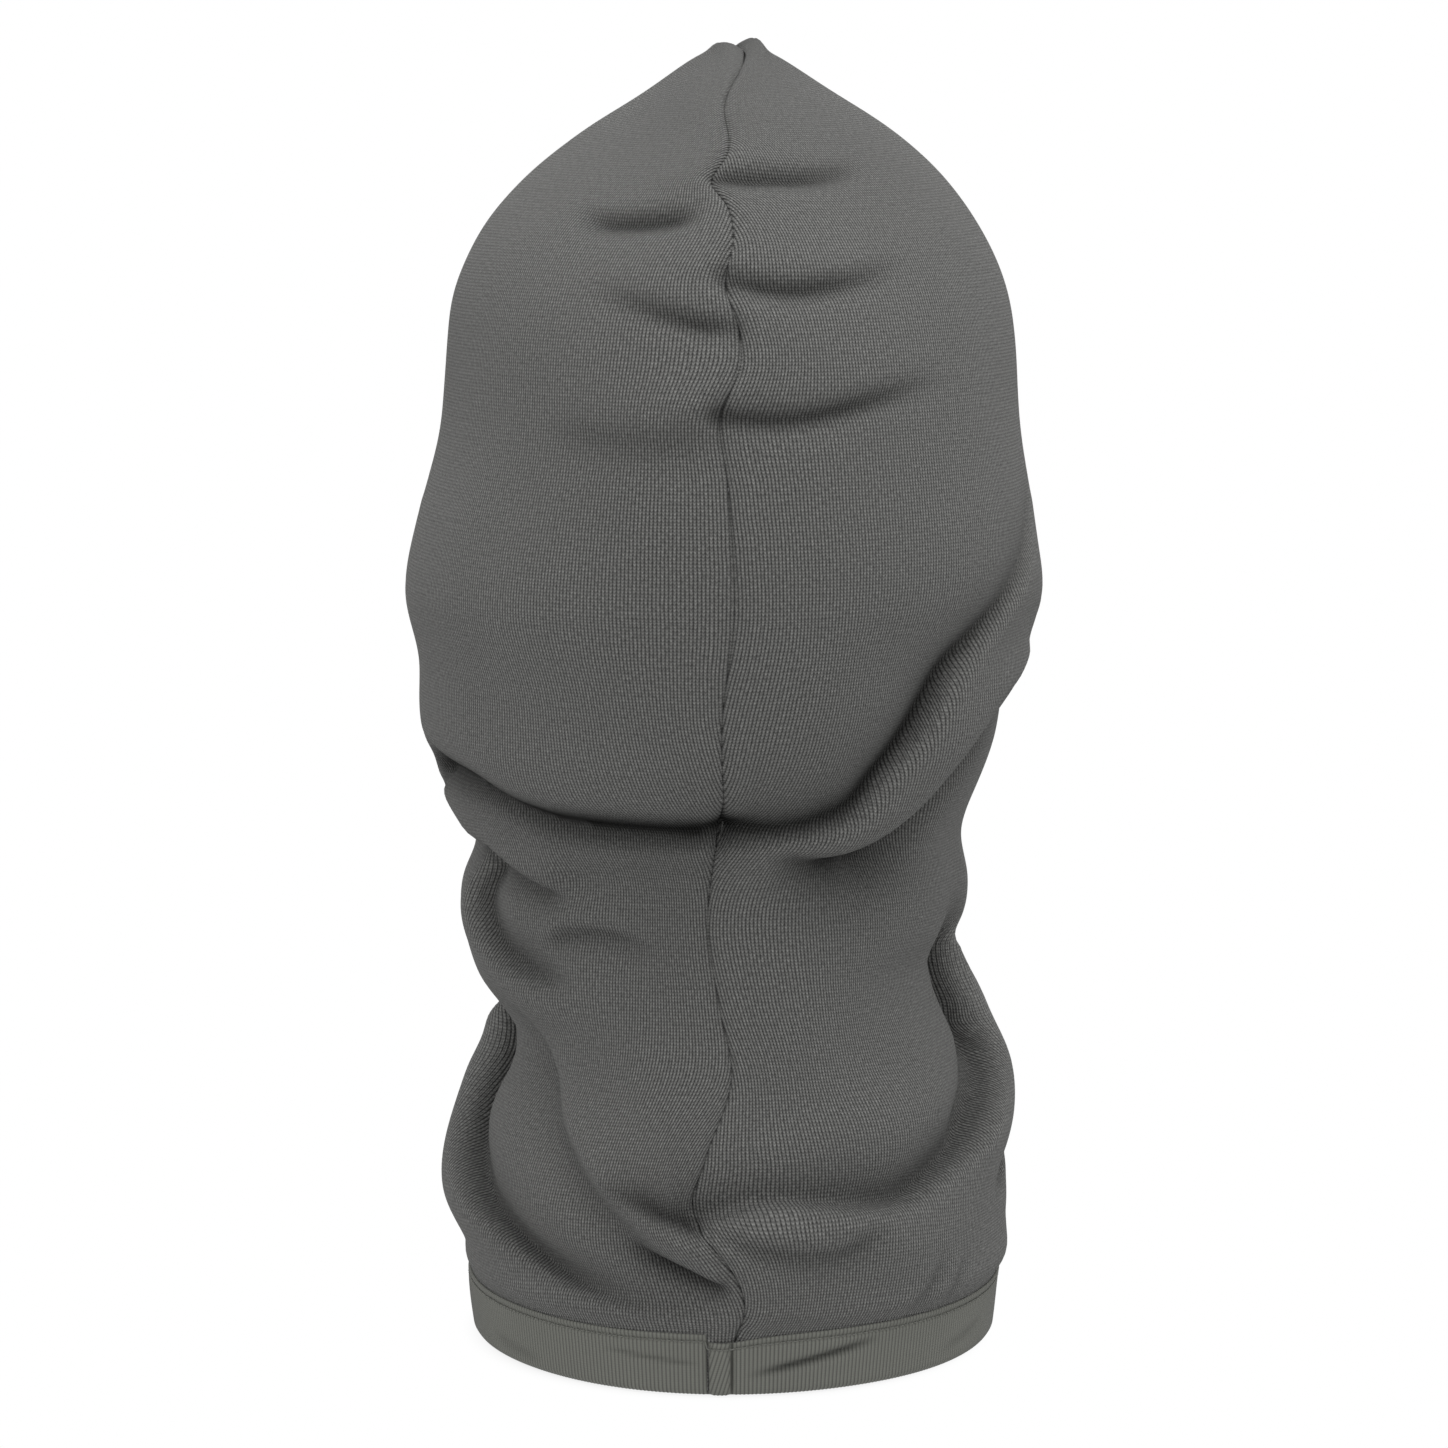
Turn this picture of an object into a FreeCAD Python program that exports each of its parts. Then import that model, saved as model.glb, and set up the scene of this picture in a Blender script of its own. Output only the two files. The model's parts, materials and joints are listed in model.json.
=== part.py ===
"""A cold-weather balaclava: a two-panel fleece hood that reaches over the neck.

Two mirrored panels are sewn along one seam that runs from the hem, up the back, over the crown and
down to the face opening, and again from the face opening down the front to the hem.  Rib-knit tape
is folded over both raw edges, at the face opening and at the hem.  A blank care label hangs from
thread loops in the back seam, inside the neck, and turns on them like a page.

Frame, in millimetres: +Z up, the wearer faces -Y, and the wearer's left is +X.  The origin is the
middle of the neck opening, on the level that the hem rests on.
"""
import FreeCAD
import Part
import math
import os

Vector = FreeCAD.Vector

# ---- driving dimensions ------------------------------------------------------------------------
HEIGHT = 366.0            # hem to the tip of the crown
FABRIC = 2.0              # thickness of the fleece
TAPE = 0.8                # thickness of the binding tape
HEM_BAND = 18.0           # visible height of the hem tape
FACE_BAND = 15.0          # visible width of the face tape
OPENING_LEVEL = 218.0     # height of the face opening's centre
OPENING_HALF_HEIGHT = 56.0
OPENING_HALF_WIDTH = 48.0
EDGE_INSET = 1.2          # from a tape's fold to the raw edge of the fleece inside it
ALLOWANCE = 6.0           # depth of the seam allowance that stands inside the hood
SEAM_GAP = 0.02           # between the two panels and the middle plane
GAP = 0.18                # between layers that lie against each other
OVERLOCK_DEPTH = 3.5      # how far the overlock thread reaches up the allowance
OVERLOCK_THREAD = 0.35    # thickness of the overlock thread layer
THREAD = 0.3              # how far a topstitch stands proud
LAP = 0.8                 # thickness of the tape's folded closing end
LAP_HALF_WIDTH = 3.2
LABEL_LENGTH = 38.0
LABEL_HEIGHT = 26.0
LABEL_THICKNESS = 0.6
LABEL_LEVEL = 104.0       # height of the label's lower edge
LABEL_REST_TILT = 14.0    # degrees that the label stands off the left panel at rest
LOOP_WIRE = 0.2           # radius of the thread in a label loop
LOOP_CLEARANCE = 0.1      # between a loop and the label's rolled edge
LOOP_STANDOFF = 0.9       # from the overlocked edge to the middle of a loop's wire, at the nearest
LOOP_TAIL = 4.0           # length of thread that runs from a loop into the seam

# Level sections of the outer surface, from the hem up: height, half width, reach to the back, reach
# to the front, and pointedness (1 is an ellipse, 2 is a lens that meets the seam at an edge).
SECTIONS = [
    (0.0, 74.0, 72.0, 79.0, 1.0),      # hem
    (HEM_BAND, 76.5, 75.0, 82.0, 1.0),  # top of the hem tape
    (42.0, 80.5, 81.0, 91.0, 1.0),     # slack skirt round the neck
    (64.0, 79.0, 80.0, 91.0, 1.0),
    (86.0, 73.5, 73.0, 85.0, 1.0),
    (120.0, 71.3, 68.0, 81.0, 1.0),    # neck
    (143.0, 71.5, 71.0, 84.0, 1.0),    # nape and throat
    (165.0, 79.5, 85.0, 91.0, 1.0),    # jaw
    (212.0, 90.5, 100.0, 97.0, 1.0),   # ears
    (258.0, 83.5, 103.0, 103.0, 1.0),  # temples and brow
    (300.0, 78.0, 97.0, 98.0, 1.1),
    (326.0, 63.5, 82.0, 84.0, 1.25),
    (346.0, 42.0, 59.0, 62.0, 1.5),    # crown
    (359.0, 21.0, 33.0, 35.0, 1.75),
    (HEIGHT, 1.5, 9.0, 9.0, 2.0),      # tip
]
CROWN_START = 262.0       # above this an offset turns from level to upright
CROWN_SLOPE = 1.1         # upright distance that one unit of thickness takes on the crown
SECTION_STEPS = 16        # intervals round half a level section
BELOW_HEM = 10.0          # how far a form runs on below the hem, to be trimmed
FAR = 400.0               # longer than the hood in any direction


# ---- the hood's form -----------------------------------------------------------------------------
def level_section(section, offset):
    """One level section moved outward by offset: a closed wire with its ends on the seam."""
    height, half_width, back, front, point = section
    upright = min(max((height - CROWN_START) / (HEIGHT - CROWN_START), 0.0), 1.0)
    level = height + offset * CROWN_SLOPE * upright
    grow = offset * (1.0 - upright)
    middle = (back - front) / 2.0
    reach = (back + front) / 2.0 + grow
    halves = []
    for side in (1, -1):
        points = []
        for step in range(SECTION_STEPS + 1):
            angle = side * math.pi * step / SECTION_STEPS
            across = (half_width + grow) * abs(math.sin(angle)) ** point
            points.append(Vector(side * across, middle + reach * math.cos(angle), level))
        if side < 0:
            points.reverse()
        curve = Part.BSplineCurve()
        curve.interpolate(Points=points, Parameters=[float(i) for i in range(SECTION_STEPS + 1)])
        halves.append(curve.toShape())
    return Part.Wire(halves)


def form(offset, below=BELOW_HEM):
    """The hood as a full solid whose surface is moved outward by offset, from below the hem up."""
    hem = (-below,) + SECTIONS[0][1:]
    wires = [level_section(section, offset) for section in [hem] + SECTIONS]
    return Part.makeLoft(wires, True, False)


def layer(inner, outer):
    """The layer between two offsets of the hood's surface."""
    return form(outer).cut(form(inner, 2 * BELOW_HEM))


def slab(x0, x1, y0, y1, z0, z1):
    return Part.makeBox(x1 - x0, y1 - y0, z1 - z0, Vector(x0, y0, z0))


def mirrored(shape):
    """The shape on the other side of the middle plane."""
    return shape.mirror(Vector(0, 0, 0), Vector(1, 0, 0))


def level_band(low, high):
    """All the space between two heights."""
    return slab(-FAR, FAR, -FAR, FAR, low, high)


def middle_band(half_width, low):
    """All the space near the middle plane, above a height."""
    return slab(-half_width, half_width, -FAR, FAR, low, FAR)


def face_prism(grow):
    """A prism through the front of the hood, with the face opening's outline moved out by grow."""
    outline = Part.Ellipse(
        Vector(0, 0, 0), OPENING_HALF_HEIGHT + grow, OPENING_HALF_WIDTH + grow).toShape()
    prism = Part.Face(Part.Wire(outline)).extrude(Vector(0, 0, FAR))
    upright = FreeCAD.Rotation(Vector(0, 0, 1), Vector(1, 0, 0), Vector(0, -1, 0), "ZXY")
    prism.Placement = FreeCAD.Placement(Vector(0, 0, OPENING_LEVEL), upright)
    return prism


def face_ring(inner, outer):
    return face_prism(outer).cut(face_prism(inner))


# ---- panels --------------------------------------------------------------------------------------
def allowance_space(half_width, depth, low, clear):
    """The space that the turned-in edges fill: near the middle plane, down to a depth below the
    surface, above a height, and clear of the face tape by a distance."""
    space = middle_band(half_width, low).cut(form(-depth, 2 * BELOW_HEM))
    return space.cut(face_prism(FACE_BAND + clear))


def both_panels():
    """The fleece of both sides with its seam allowances, trimmed at the hem and the opening."""
    allowance = allowance_space(FABRIC, FABRIC + ALLOWANCE, HEM_BAND + 1.0, 1.0)
    hollow = form(-FABRIC, 2 * BELOW_HEM).cut(allowance)
    fleece = form(0).cut(hollow).common(level_band(EDGE_INSET, FAR))
    return fleece.cut(face_prism(EDGE_INSET))


def overlock():
    """The thread layer wrapped over the allowances' free edges: the back seam's and the front's."""
    depth = FABRIC + ALLOWANCE
    wrap = allowance_space(
        FABRIC + OVERLOCK_THREAD, depth + OVERLOCK_THREAD, HEM_BAND + 2.0, 2.0)
    allowance = allowance_space(FABRIC, depth, HEM_BAND, 0.0)
    wrap = wrap.cut(allowance).common(form(OVERLOCK_DEPTH - depth))
    front_zone = slab(-FAR, FAR, -FAR, 0, 0, OPENING_LEVEL)
    return wrap.cut(front_zone), wrap.common(front_zone)


# ---- hem tape ------------------------------------------------------------------------------------
def hem_binding(fleece):
    return layer(-FABRIC - TAPE, TAPE).common(level_band(0, HEM_BAND)).cut(fleece)


def hem_binding_lap():
    lap_space = slab(-LAP_HALF_WIDTH, LAP_HALF_WIDTH, 0, FAR, 0, HEM_BAND - 4.0)
    return layer(TAPE + GAP, TAPE + GAP + LAP).common(lap_space)


def hem_stitch_line(inner, outer, low, high):
    return layer(inner, outer).common(level_band(low, high))


# ---- face tape -----------------------------------------------------------------------------------
def face_binding(fleece):
    return layer(-FABRIC - TAPE, TAPE).common(face_ring(0, FACE_BAND)).cut(fleece)


def face_binding_lap():
    lap_space = slab(-LAP_HALF_WIDTH, LAP_HALF_WIDTH, -FAR, 0, 0, OPENING_LEVEL)
    lap = layer(TAPE + GAP, TAPE + GAP + LAP)
    return lap.common(face_ring(0, FACE_BAND - 3.5)).common(lap_space)


def face_stitch_line(inner, outer, ring_inner, ring_outer):
    return layer(inner, outer).common(face_ring(ring_inner, ring_outer))


# ---- care label ----------------------------------------------------------------------------------
ROLL_RADIUS = LABEL_THICKNESS * 0.8
LOOP_RADIUS = ROLL_RADIUS + LOOP_CLEARANCE + LOOP_WIRE
LOOP_HEIGHTS = [LABEL_LEVEL + LABEL_HEIGHT * share for share in (0.1, 0.3, 0.5, 0.7, 0.9)]


def back_reach(height):
    """How far the outer surface reaches to the back at a height, between two section rows."""
    for low, high in zip(SECTIONS, SECTIONS[1:]):
        if low[0] <= height <= high[0]:
            share = (height - low[0]) / (high[0] - low[0])
            return low[2] + share * (high[2] - low[2])
    raise ValueError("no section spans that height")


def hinge_place():
    """The Y of the label's hinge line, just inside the overlocked seam all the way up the label."""
    seam_edge = min(back_reach(height) for height in LOOP_HEIGHTS) - FABRIC - ALLOWANCE
    return seam_edge - OVERLOCK_THREAD - LOOP_RADIUS - LOOP_STANDOFF


def care_label():
    """A folded tab on a rolled edge, with a slot at each thread loop."""
    roll = Part.makeCylinder(ROLL_RADIUS, LABEL_HEIGHT)
    tab = slab(0, LABEL_LENGTH, -LABEL_THICKNESS / 2, LABEL_THICKNESS / 2, 0, LABEL_HEIGHT)
    label = roll.fuse(tab).removeSplitter()
    slot_half = LOOP_WIRE + 0.3
    for height in LOOP_HEIGHTS:
        z = height - LABEL_LEVEL
        slot = slab(-FAR, LOOP_RADIUS + LOOP_WIRE + 0.4, -FAR, FAR, z - slot_half, z + slot_half)
        label = label.cut(slot.cut(Part.makeCylinder(ROLL_RADIUS, LABEL_HEIGHT)))
    label.Placement = FreeCAD.Placement(
        Vector(0, hinge_place(), LABEL_LEVEL),
        FreeCAD.Rotation(Vector(0, 0, 1), -LABEL_REST_TILT))
    return label


def care_label_loops():
    """Thread loops round the label's rolled edge, each with a tail into the back seam."""
    loops = []
    for height in LOOP_HEIGHTS:
        centre = Vector(0, hinge_place(), height)
        ring = Part.makeTorus(LOOP_RADIUS, LOOP_WIRE, centre)
        tail = Part.makeCylinder(
            LOOP_WIRE, LOOP_TAIL, centre + Vector(0, LOOP_RADIUS, 0), Vector(0, 1, 0))
        loops.append(ring.fuse(tail).removeSplitter())
    return Part.makeCompound(loops)


# ---- the assembly --------------------------------------------------------------------------------
def build():
    fleece = both_panels()
    left_panel = fleece.common(slab(SEAM_GAP, FAR, -FAR, FAR, 0, FAR))
    back_overlock, front_overlock = overlock()
    outside = TAPE + GAP
    inside = -FABRIC - TAPE - GAP
    return {
        "left_side_panel": left_panel,
        "right_side_panel": mirrored(left_panel),
        "back_seam_overlock_thread": back_overlock,
        "front_seam_overlock_thread": front_overlock,
        "hem_binding": hem_binding(fleece),
        "hem_binding_lap": hem_binding_lap(),
        "hem_needle_thread": hem_stitch_line(
            outside, outside + THREAD, HEM_BAND - 2.6, HEM_BAND - 2.0),
        "hem_looper_thread": hem_stitch_line(
            inside - THREAD, inside, HEM_BAND - 4.0, HEM_BAND - 1.0),
        "face_binding": face_binding(fleece),
        "face_binding_lap": face_binding_lap(),
        "face_needle_thread": face_stitch_line(
            outside, outside + THREAD, FACE_BAND - 2.6, FACE_BAND - 2.0),
        "face_looper_thread": face_stitch_line(
            inside - THREAD, inside, FACE_BAND - 4.0, FACE_BAND - 1.0),
        "care_label": care_label(),
        "care_label_loops": care_label_loops(),
    }


os.makedirs("parts", exist_ok=True)
for name, shape in build().items():
    shape.exportStep(os.path.join("parts", name + ".step"))
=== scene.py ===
"""Looks for the balaclava: cloth panels, rib tapes, threads and the label, built round the CAD frame.

Lengths in this file are millimetres until a mesh is made, and angles are degrees.  An angle of 0 is
the back seam, positive angles run round the wearer's left (+X), and 180 is the front seam.
"""

import json
import math

import bpy
import bmesh
import numpy as np
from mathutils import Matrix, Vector, noise
from mathutils.bvhtree import BVHTree


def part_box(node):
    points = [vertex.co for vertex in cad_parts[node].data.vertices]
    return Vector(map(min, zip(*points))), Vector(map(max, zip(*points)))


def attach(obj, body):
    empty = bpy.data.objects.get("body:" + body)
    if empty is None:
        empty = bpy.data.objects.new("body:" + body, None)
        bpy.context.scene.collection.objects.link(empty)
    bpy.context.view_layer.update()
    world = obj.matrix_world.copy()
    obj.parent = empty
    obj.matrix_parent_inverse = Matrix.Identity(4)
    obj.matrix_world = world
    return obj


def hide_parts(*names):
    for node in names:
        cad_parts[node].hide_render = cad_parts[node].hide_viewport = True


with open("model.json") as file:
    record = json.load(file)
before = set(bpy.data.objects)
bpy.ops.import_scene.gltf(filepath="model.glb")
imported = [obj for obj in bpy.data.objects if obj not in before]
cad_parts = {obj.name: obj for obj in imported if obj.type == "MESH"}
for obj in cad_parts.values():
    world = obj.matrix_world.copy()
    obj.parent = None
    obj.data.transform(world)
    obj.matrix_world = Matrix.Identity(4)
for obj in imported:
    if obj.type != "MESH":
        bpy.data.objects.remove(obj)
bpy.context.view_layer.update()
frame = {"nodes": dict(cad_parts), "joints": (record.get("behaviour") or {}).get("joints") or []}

MM = 0.001                      # metres in a millimetre
CLOTH = 2.0                     # thickness of the fleece
TAPE = 0.75                     # thickness of the rib tape
FACE_BAND = 15.0                # width of the face tape
ALLOWANCE_DEPTHS = (3.2, 4.8, 6.4, 8.0)   # grid columns of the turned-in edge, below the surface
FINE_GRID = 1.2                 # spacing of the cloth grid's columns at the back
FRONT_GRID = 4.0                # and in front
ROW_GRID = 1.35                 # spacing of its rows where the folds are
PLAIN_GRID = 2.2                # and elsewhere
CROWN_GRID = 1.5                # and on the head's dome
CROWN_CENTRE = 240.0            # rays above this height fan out from one point
CROWN_END = 88.0                # elevation of the last ring round the pole
SEAM_HALF_GAP = 0.03            # from the middle plane to each panel's edge at a seam
WALE = 1.02                     # spacing of the fleece's wales, the upright rows of its knit
COURSE = 0.9                    # height of one loop of the fleece
RIB = 1.12                      # spacing of the tape's ribs
UV_SCALE = 0.01                 # the weave map holds millimetres times this


# ---- small tools -----------------------------------------
def smoothstep(low, high, value):
    share = np.clip((value - low) / (high - low), 0.0, 1.0)
    return share * share * (3.0 - 2.0 * share)


def hill(value, middle, width):
    """1 at the middle, falling off to both sides within about the width."""
    return np.exp(-((value - middle) / width) ** 2)


def through(points, value):
    """A smooth curve through (place, amount) pairs, level before the first and after the last."""
    places = np.array([p[0] for p in points], float)
    amounts = np.array([p[1] for p in points], float)
    slopes = np.gradient(amounts, places)
    slopes[[0, -1]] = 0.0
    value = np.clip(value, places[0], places[-1])
    index = np.clip(np.searchsorted(places, value) - 1, 0, len(places) - 2)
    width = places[index + 1] - places[index]
    t = (value - places[index]) / width
    return (amounts[index] * (1 + 2 * t) * (1 - t) ** 2 + amounts[index + 1] * t * t * (3 - 2 * t)
            + width * t * (1 - t) * (slopes[index] * (1 - t) - slopes[index + 1] * t))


def unit(vectors):
    return vectors / np.maximum(np.linalg.norm(vectors, axis=-1, keepdims=True), 1e-9)


def blur(values, times):
    """Averages a grid with its neighbours along both directions."""
    for _ in range(times):
        for axis in (0, 1):
            swapped = np.swapaxes(values, 0, axis)
            padded = np.concatenate([swapped[:1], swapped, swapped[-1:]])
            swapped = (padded[:-2] + 2.0 * padded[1:-1] + padded[2:]) / 4.0
            values = np.swapaxes(swapped, 0, axis)
    return values


def grid_normals(points):
    """Outward normals of a grid of points whose rows climb and whose columns run from the back."""
    climb = np.gradient(points, axis=0)
    along = np.gradient(points, axis=1)
    return unit(np.cross(climb, along))


def new_object(name, mesh, material):
    ob = bpy.data.objects.new(name, mesh)
    bpy.context.scene.collection.objects.link(ob)
    for each in material if isinstance(material, (list, tuple)) else [material]:
        mesh.materials.append(each)
    return ob


def make_mesh(name, points, faces):
    mesh = bpy.data.meshes.new(name)
    mesh.from_pydata([tuple(p) for p in np.asarray(points) * MM], [], [tuple(f) for f in faces])
    mesh.update()
    mesh.polygons.foreach_set("use_smooth", [True] * len(mesh.polygons))
    return mesh


def face_outward(mesh):
    """Turns the faces of a closed mesh outward, and drops points that no face uses."""
    work = bmesh.new()
    work.from_mesh(mesh)
    bmesh.ops.delete(work, geom=[v for v in work.verts if not v.link_faces], context="VERTS")
    bmesh.ops.recalc_face_normals(work, faces=work.faces)
    work.to_mesh(mesh)
    work.free()


def add_piece(name, mesh, material, node, body="hood"):
    """Puts a closed mesh in the scene, on its body and in place of its CAD node."""
    face_outward(mesh)
    ob = new_object(name, mesh, material)
    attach(ob, body)
    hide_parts(node)


def set_weave(mesh, places):
    """Gives every vertex its place on the cloth, in millimetres across and up."""
    corner = np.zeros(len(mesh.loops), np.int32)
    mesh.loops.foreach_get("vertex_index", corner)
    layer = mesh.uv_layers.new(name="weave")
    layer.data.foreach_set("uv", (places[corner] * UV_SCALE).astype(np.float32).ravel())


def set_share(mesh, name, values):
    """Gives every vertex a value that a material can read by its name."""
    layer = mesh.attributes.new(name, "FLOAT", "POINT")
    layer.data.foreach_set("value", values.astype(np.float32))


def two_way(rows, columns):
    """The pairs of a row value and a column value, as a grid."""
    return np.stack(np.meshgrid(rows, columns, indexing="ij"), axis=-1)


def run_lengths(steps):
    """How far along a line each of its points is, from the steps between them."""
    return np.concatenate([[0.0], np.cumsum(np.linalg.norm(steps, axis=1))])


def ring_angles(sides):
    return [2 * math.pi * k / sides for k in range(sides)]


def tube_faces(first, rings, sides):
    """Faces of a closed tube whose rings of points follow one another from the given point."""
    faces = []
    for low in range(first, first + (rings - 1) * sides, sides):
        high = low + sides
        faces += [(low + k, low + (k + 1) % sides, high + (k + 1) % sides, high + k)
                  for k in range(sides)]
    last = first + (rings - 1) * sides
    return faces + [tuple(range(first + sides - 1, first - 1, -1)), tuple(range(last, last + sides))]


# ---- the form, read from the CAD panels ------------------
def panel_tree():
    points, faces = [], []
    for node in ("left_side_panel", "right_side_panel"):
        mesh = frame["nodes"][node].data
        first = len(points)
        points += [v.co / MM for v in mesh.vertices]
        faces += [[first + i for i in p.vertices] for p in mesh.polygons]
    return BVHTree.FromPolygons(points, faces)


def column_angles():
    """Angles from the back seam to the front: close together at the seams, wider apart in front."""
    half_round = 285.0
    places = [0.0, 0.35, 0.8, 1.3, 1.9, 2.6, 3.4, 4.4]
    while places[-1] < half_round - 9.0:
        share = float(smoothstep(160.0, 205.0, places[-1]))
        places.append(places[-1] + FINE_GRID + (FRONT_GRID - FINE_GRID) * share)
    front = [half_round - p for p in (5.6, 3.4, 1.9, 0.8, 0.0)]
    return np.array(places + front) * 180.0 / half_round


def row_rays():
    """(height of the ray's centre, elevation) for each row, from the hem to the pole."""
    heights = [1.5]
    while heights[-1] < CROWN_CENTRE:
        heights.append(heights[-1] + (ROW_GRID if 17.0 < heights[-1] < 215.0 else PLAIN_GRID))
    rows = [(min(height, CROWN_CENTRE), 0.0) for height in heights]
    steps = int(math.radians(CROWN_END) * 105.0 / CROWN_GRID)
    return rows + [(CROWN_CENTRE, CROWN_END * (i + 1) / steps) for i in range(steps)]


def base_grid(angles, rows):
    """The CAD surface on the wearer's left as a smooth grid, also across the face opening."""
    tree = panel_tree()
    far = 400.0
    reach = np.full((len(rows), len(angles)), np.nan)
    directions = np.zeros((len(rows), len(angles), 3))
    centres = np.zeros((len(rows), len(angles), 3))
    for i, (height, rise) in enumerate(rows):
        centre = Vector((0.0, 0.0, height))
        for j, angle in enumerate(angles):
            a = math.radians(min(max(angle, 0.05), 179.95))
            e = math.radians(rise)
            way = Vector((math.sin(a) * math.cos(e), math.cos(a) * math.cos(e), math.sin(e)))
            directions[i, j] = way
            centres[i, j] = centre
            hit, normal, _, _ = tree.ray_cast(centre + way * far, -way)
            if hit is not None and normal.dot(way) > 0.25 and (hit - centre).dot(way) > 0:
                reach[i, j] = (hit - centre).dot(way)
    bend = np.radians(angles)[:, None] * np.arange(6)[None, :]
    waves = np.cos(bend)
    for i in range(len(rows)):
        missing = np.isnan(reach[i])
        if missing.any():
            fit = np.linalg.lstsq(waves[~missing], reach[i][~missing], rcond=None)[0]
            reach[i][missing] = (waves @ fit)[missing]
    reach = blur(reach, 6)
    points = centres + directions * reach[..., None]
    points[:, 0, 0] = 0.0
    points[:, -1, 0] = 0.0
    return points


# ---- folds -----------------------------------------------
# Each fold is a crease line on the surface, as (angle, height) points, with the swell on one side of
# it and the hollow on the other.  The hollow is on the right hand of someone who walks along the line
# with their head outward.  swell and hollow are heights in mm, the reaches are how far they spread,
# and crest is how far from the line the swell is highest.  lean is how far the swell hangs over the
# crease, edge rounds the crease's bottom, and curve is 1 for a sharp hollow and 2 for a soft one.  wall
# is 1 for an even slope from the crease to the crest and more for a steep foot, strength is the share
# at each point.  shade says how dark the crease's painted shade gets: the cloth's colour is darkened
# there in place of shade from the light.  under is how far up the swell the painted shade reaches, and
# beside how dark the painted shade in the hollow starts and how far that spreads.  crest, edge and
# wall can be one value or a value for each point.
FOLDS = []


def fold(path, swell, swell_reach, hollow, hollow_reach, lean=0.0, edge=0.8, crest=5.0, curve=1.2,
         wall=2.6, strength=None, shade=0.3, under=None, beside=None):
    strength = strength or [0.0] + [1.0] * (len(path) - 2) + [0.0]
    FOLDS.append(dict(path=path, swell=swell, swell_reach=swell_reach, hollow=hollow,
                      hollow_reach=hollow_reach, lean=lean, edge=edge, crest=crest, curve=curve,
                      wall=wall, strength=strength, shade=shade,
                      under=under or 0.5 * min(np.atleast_1d(crest)) + 0.8 * lean,
                      beside=beside or (1.0, 0.5 * hollow_reach)))


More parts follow.
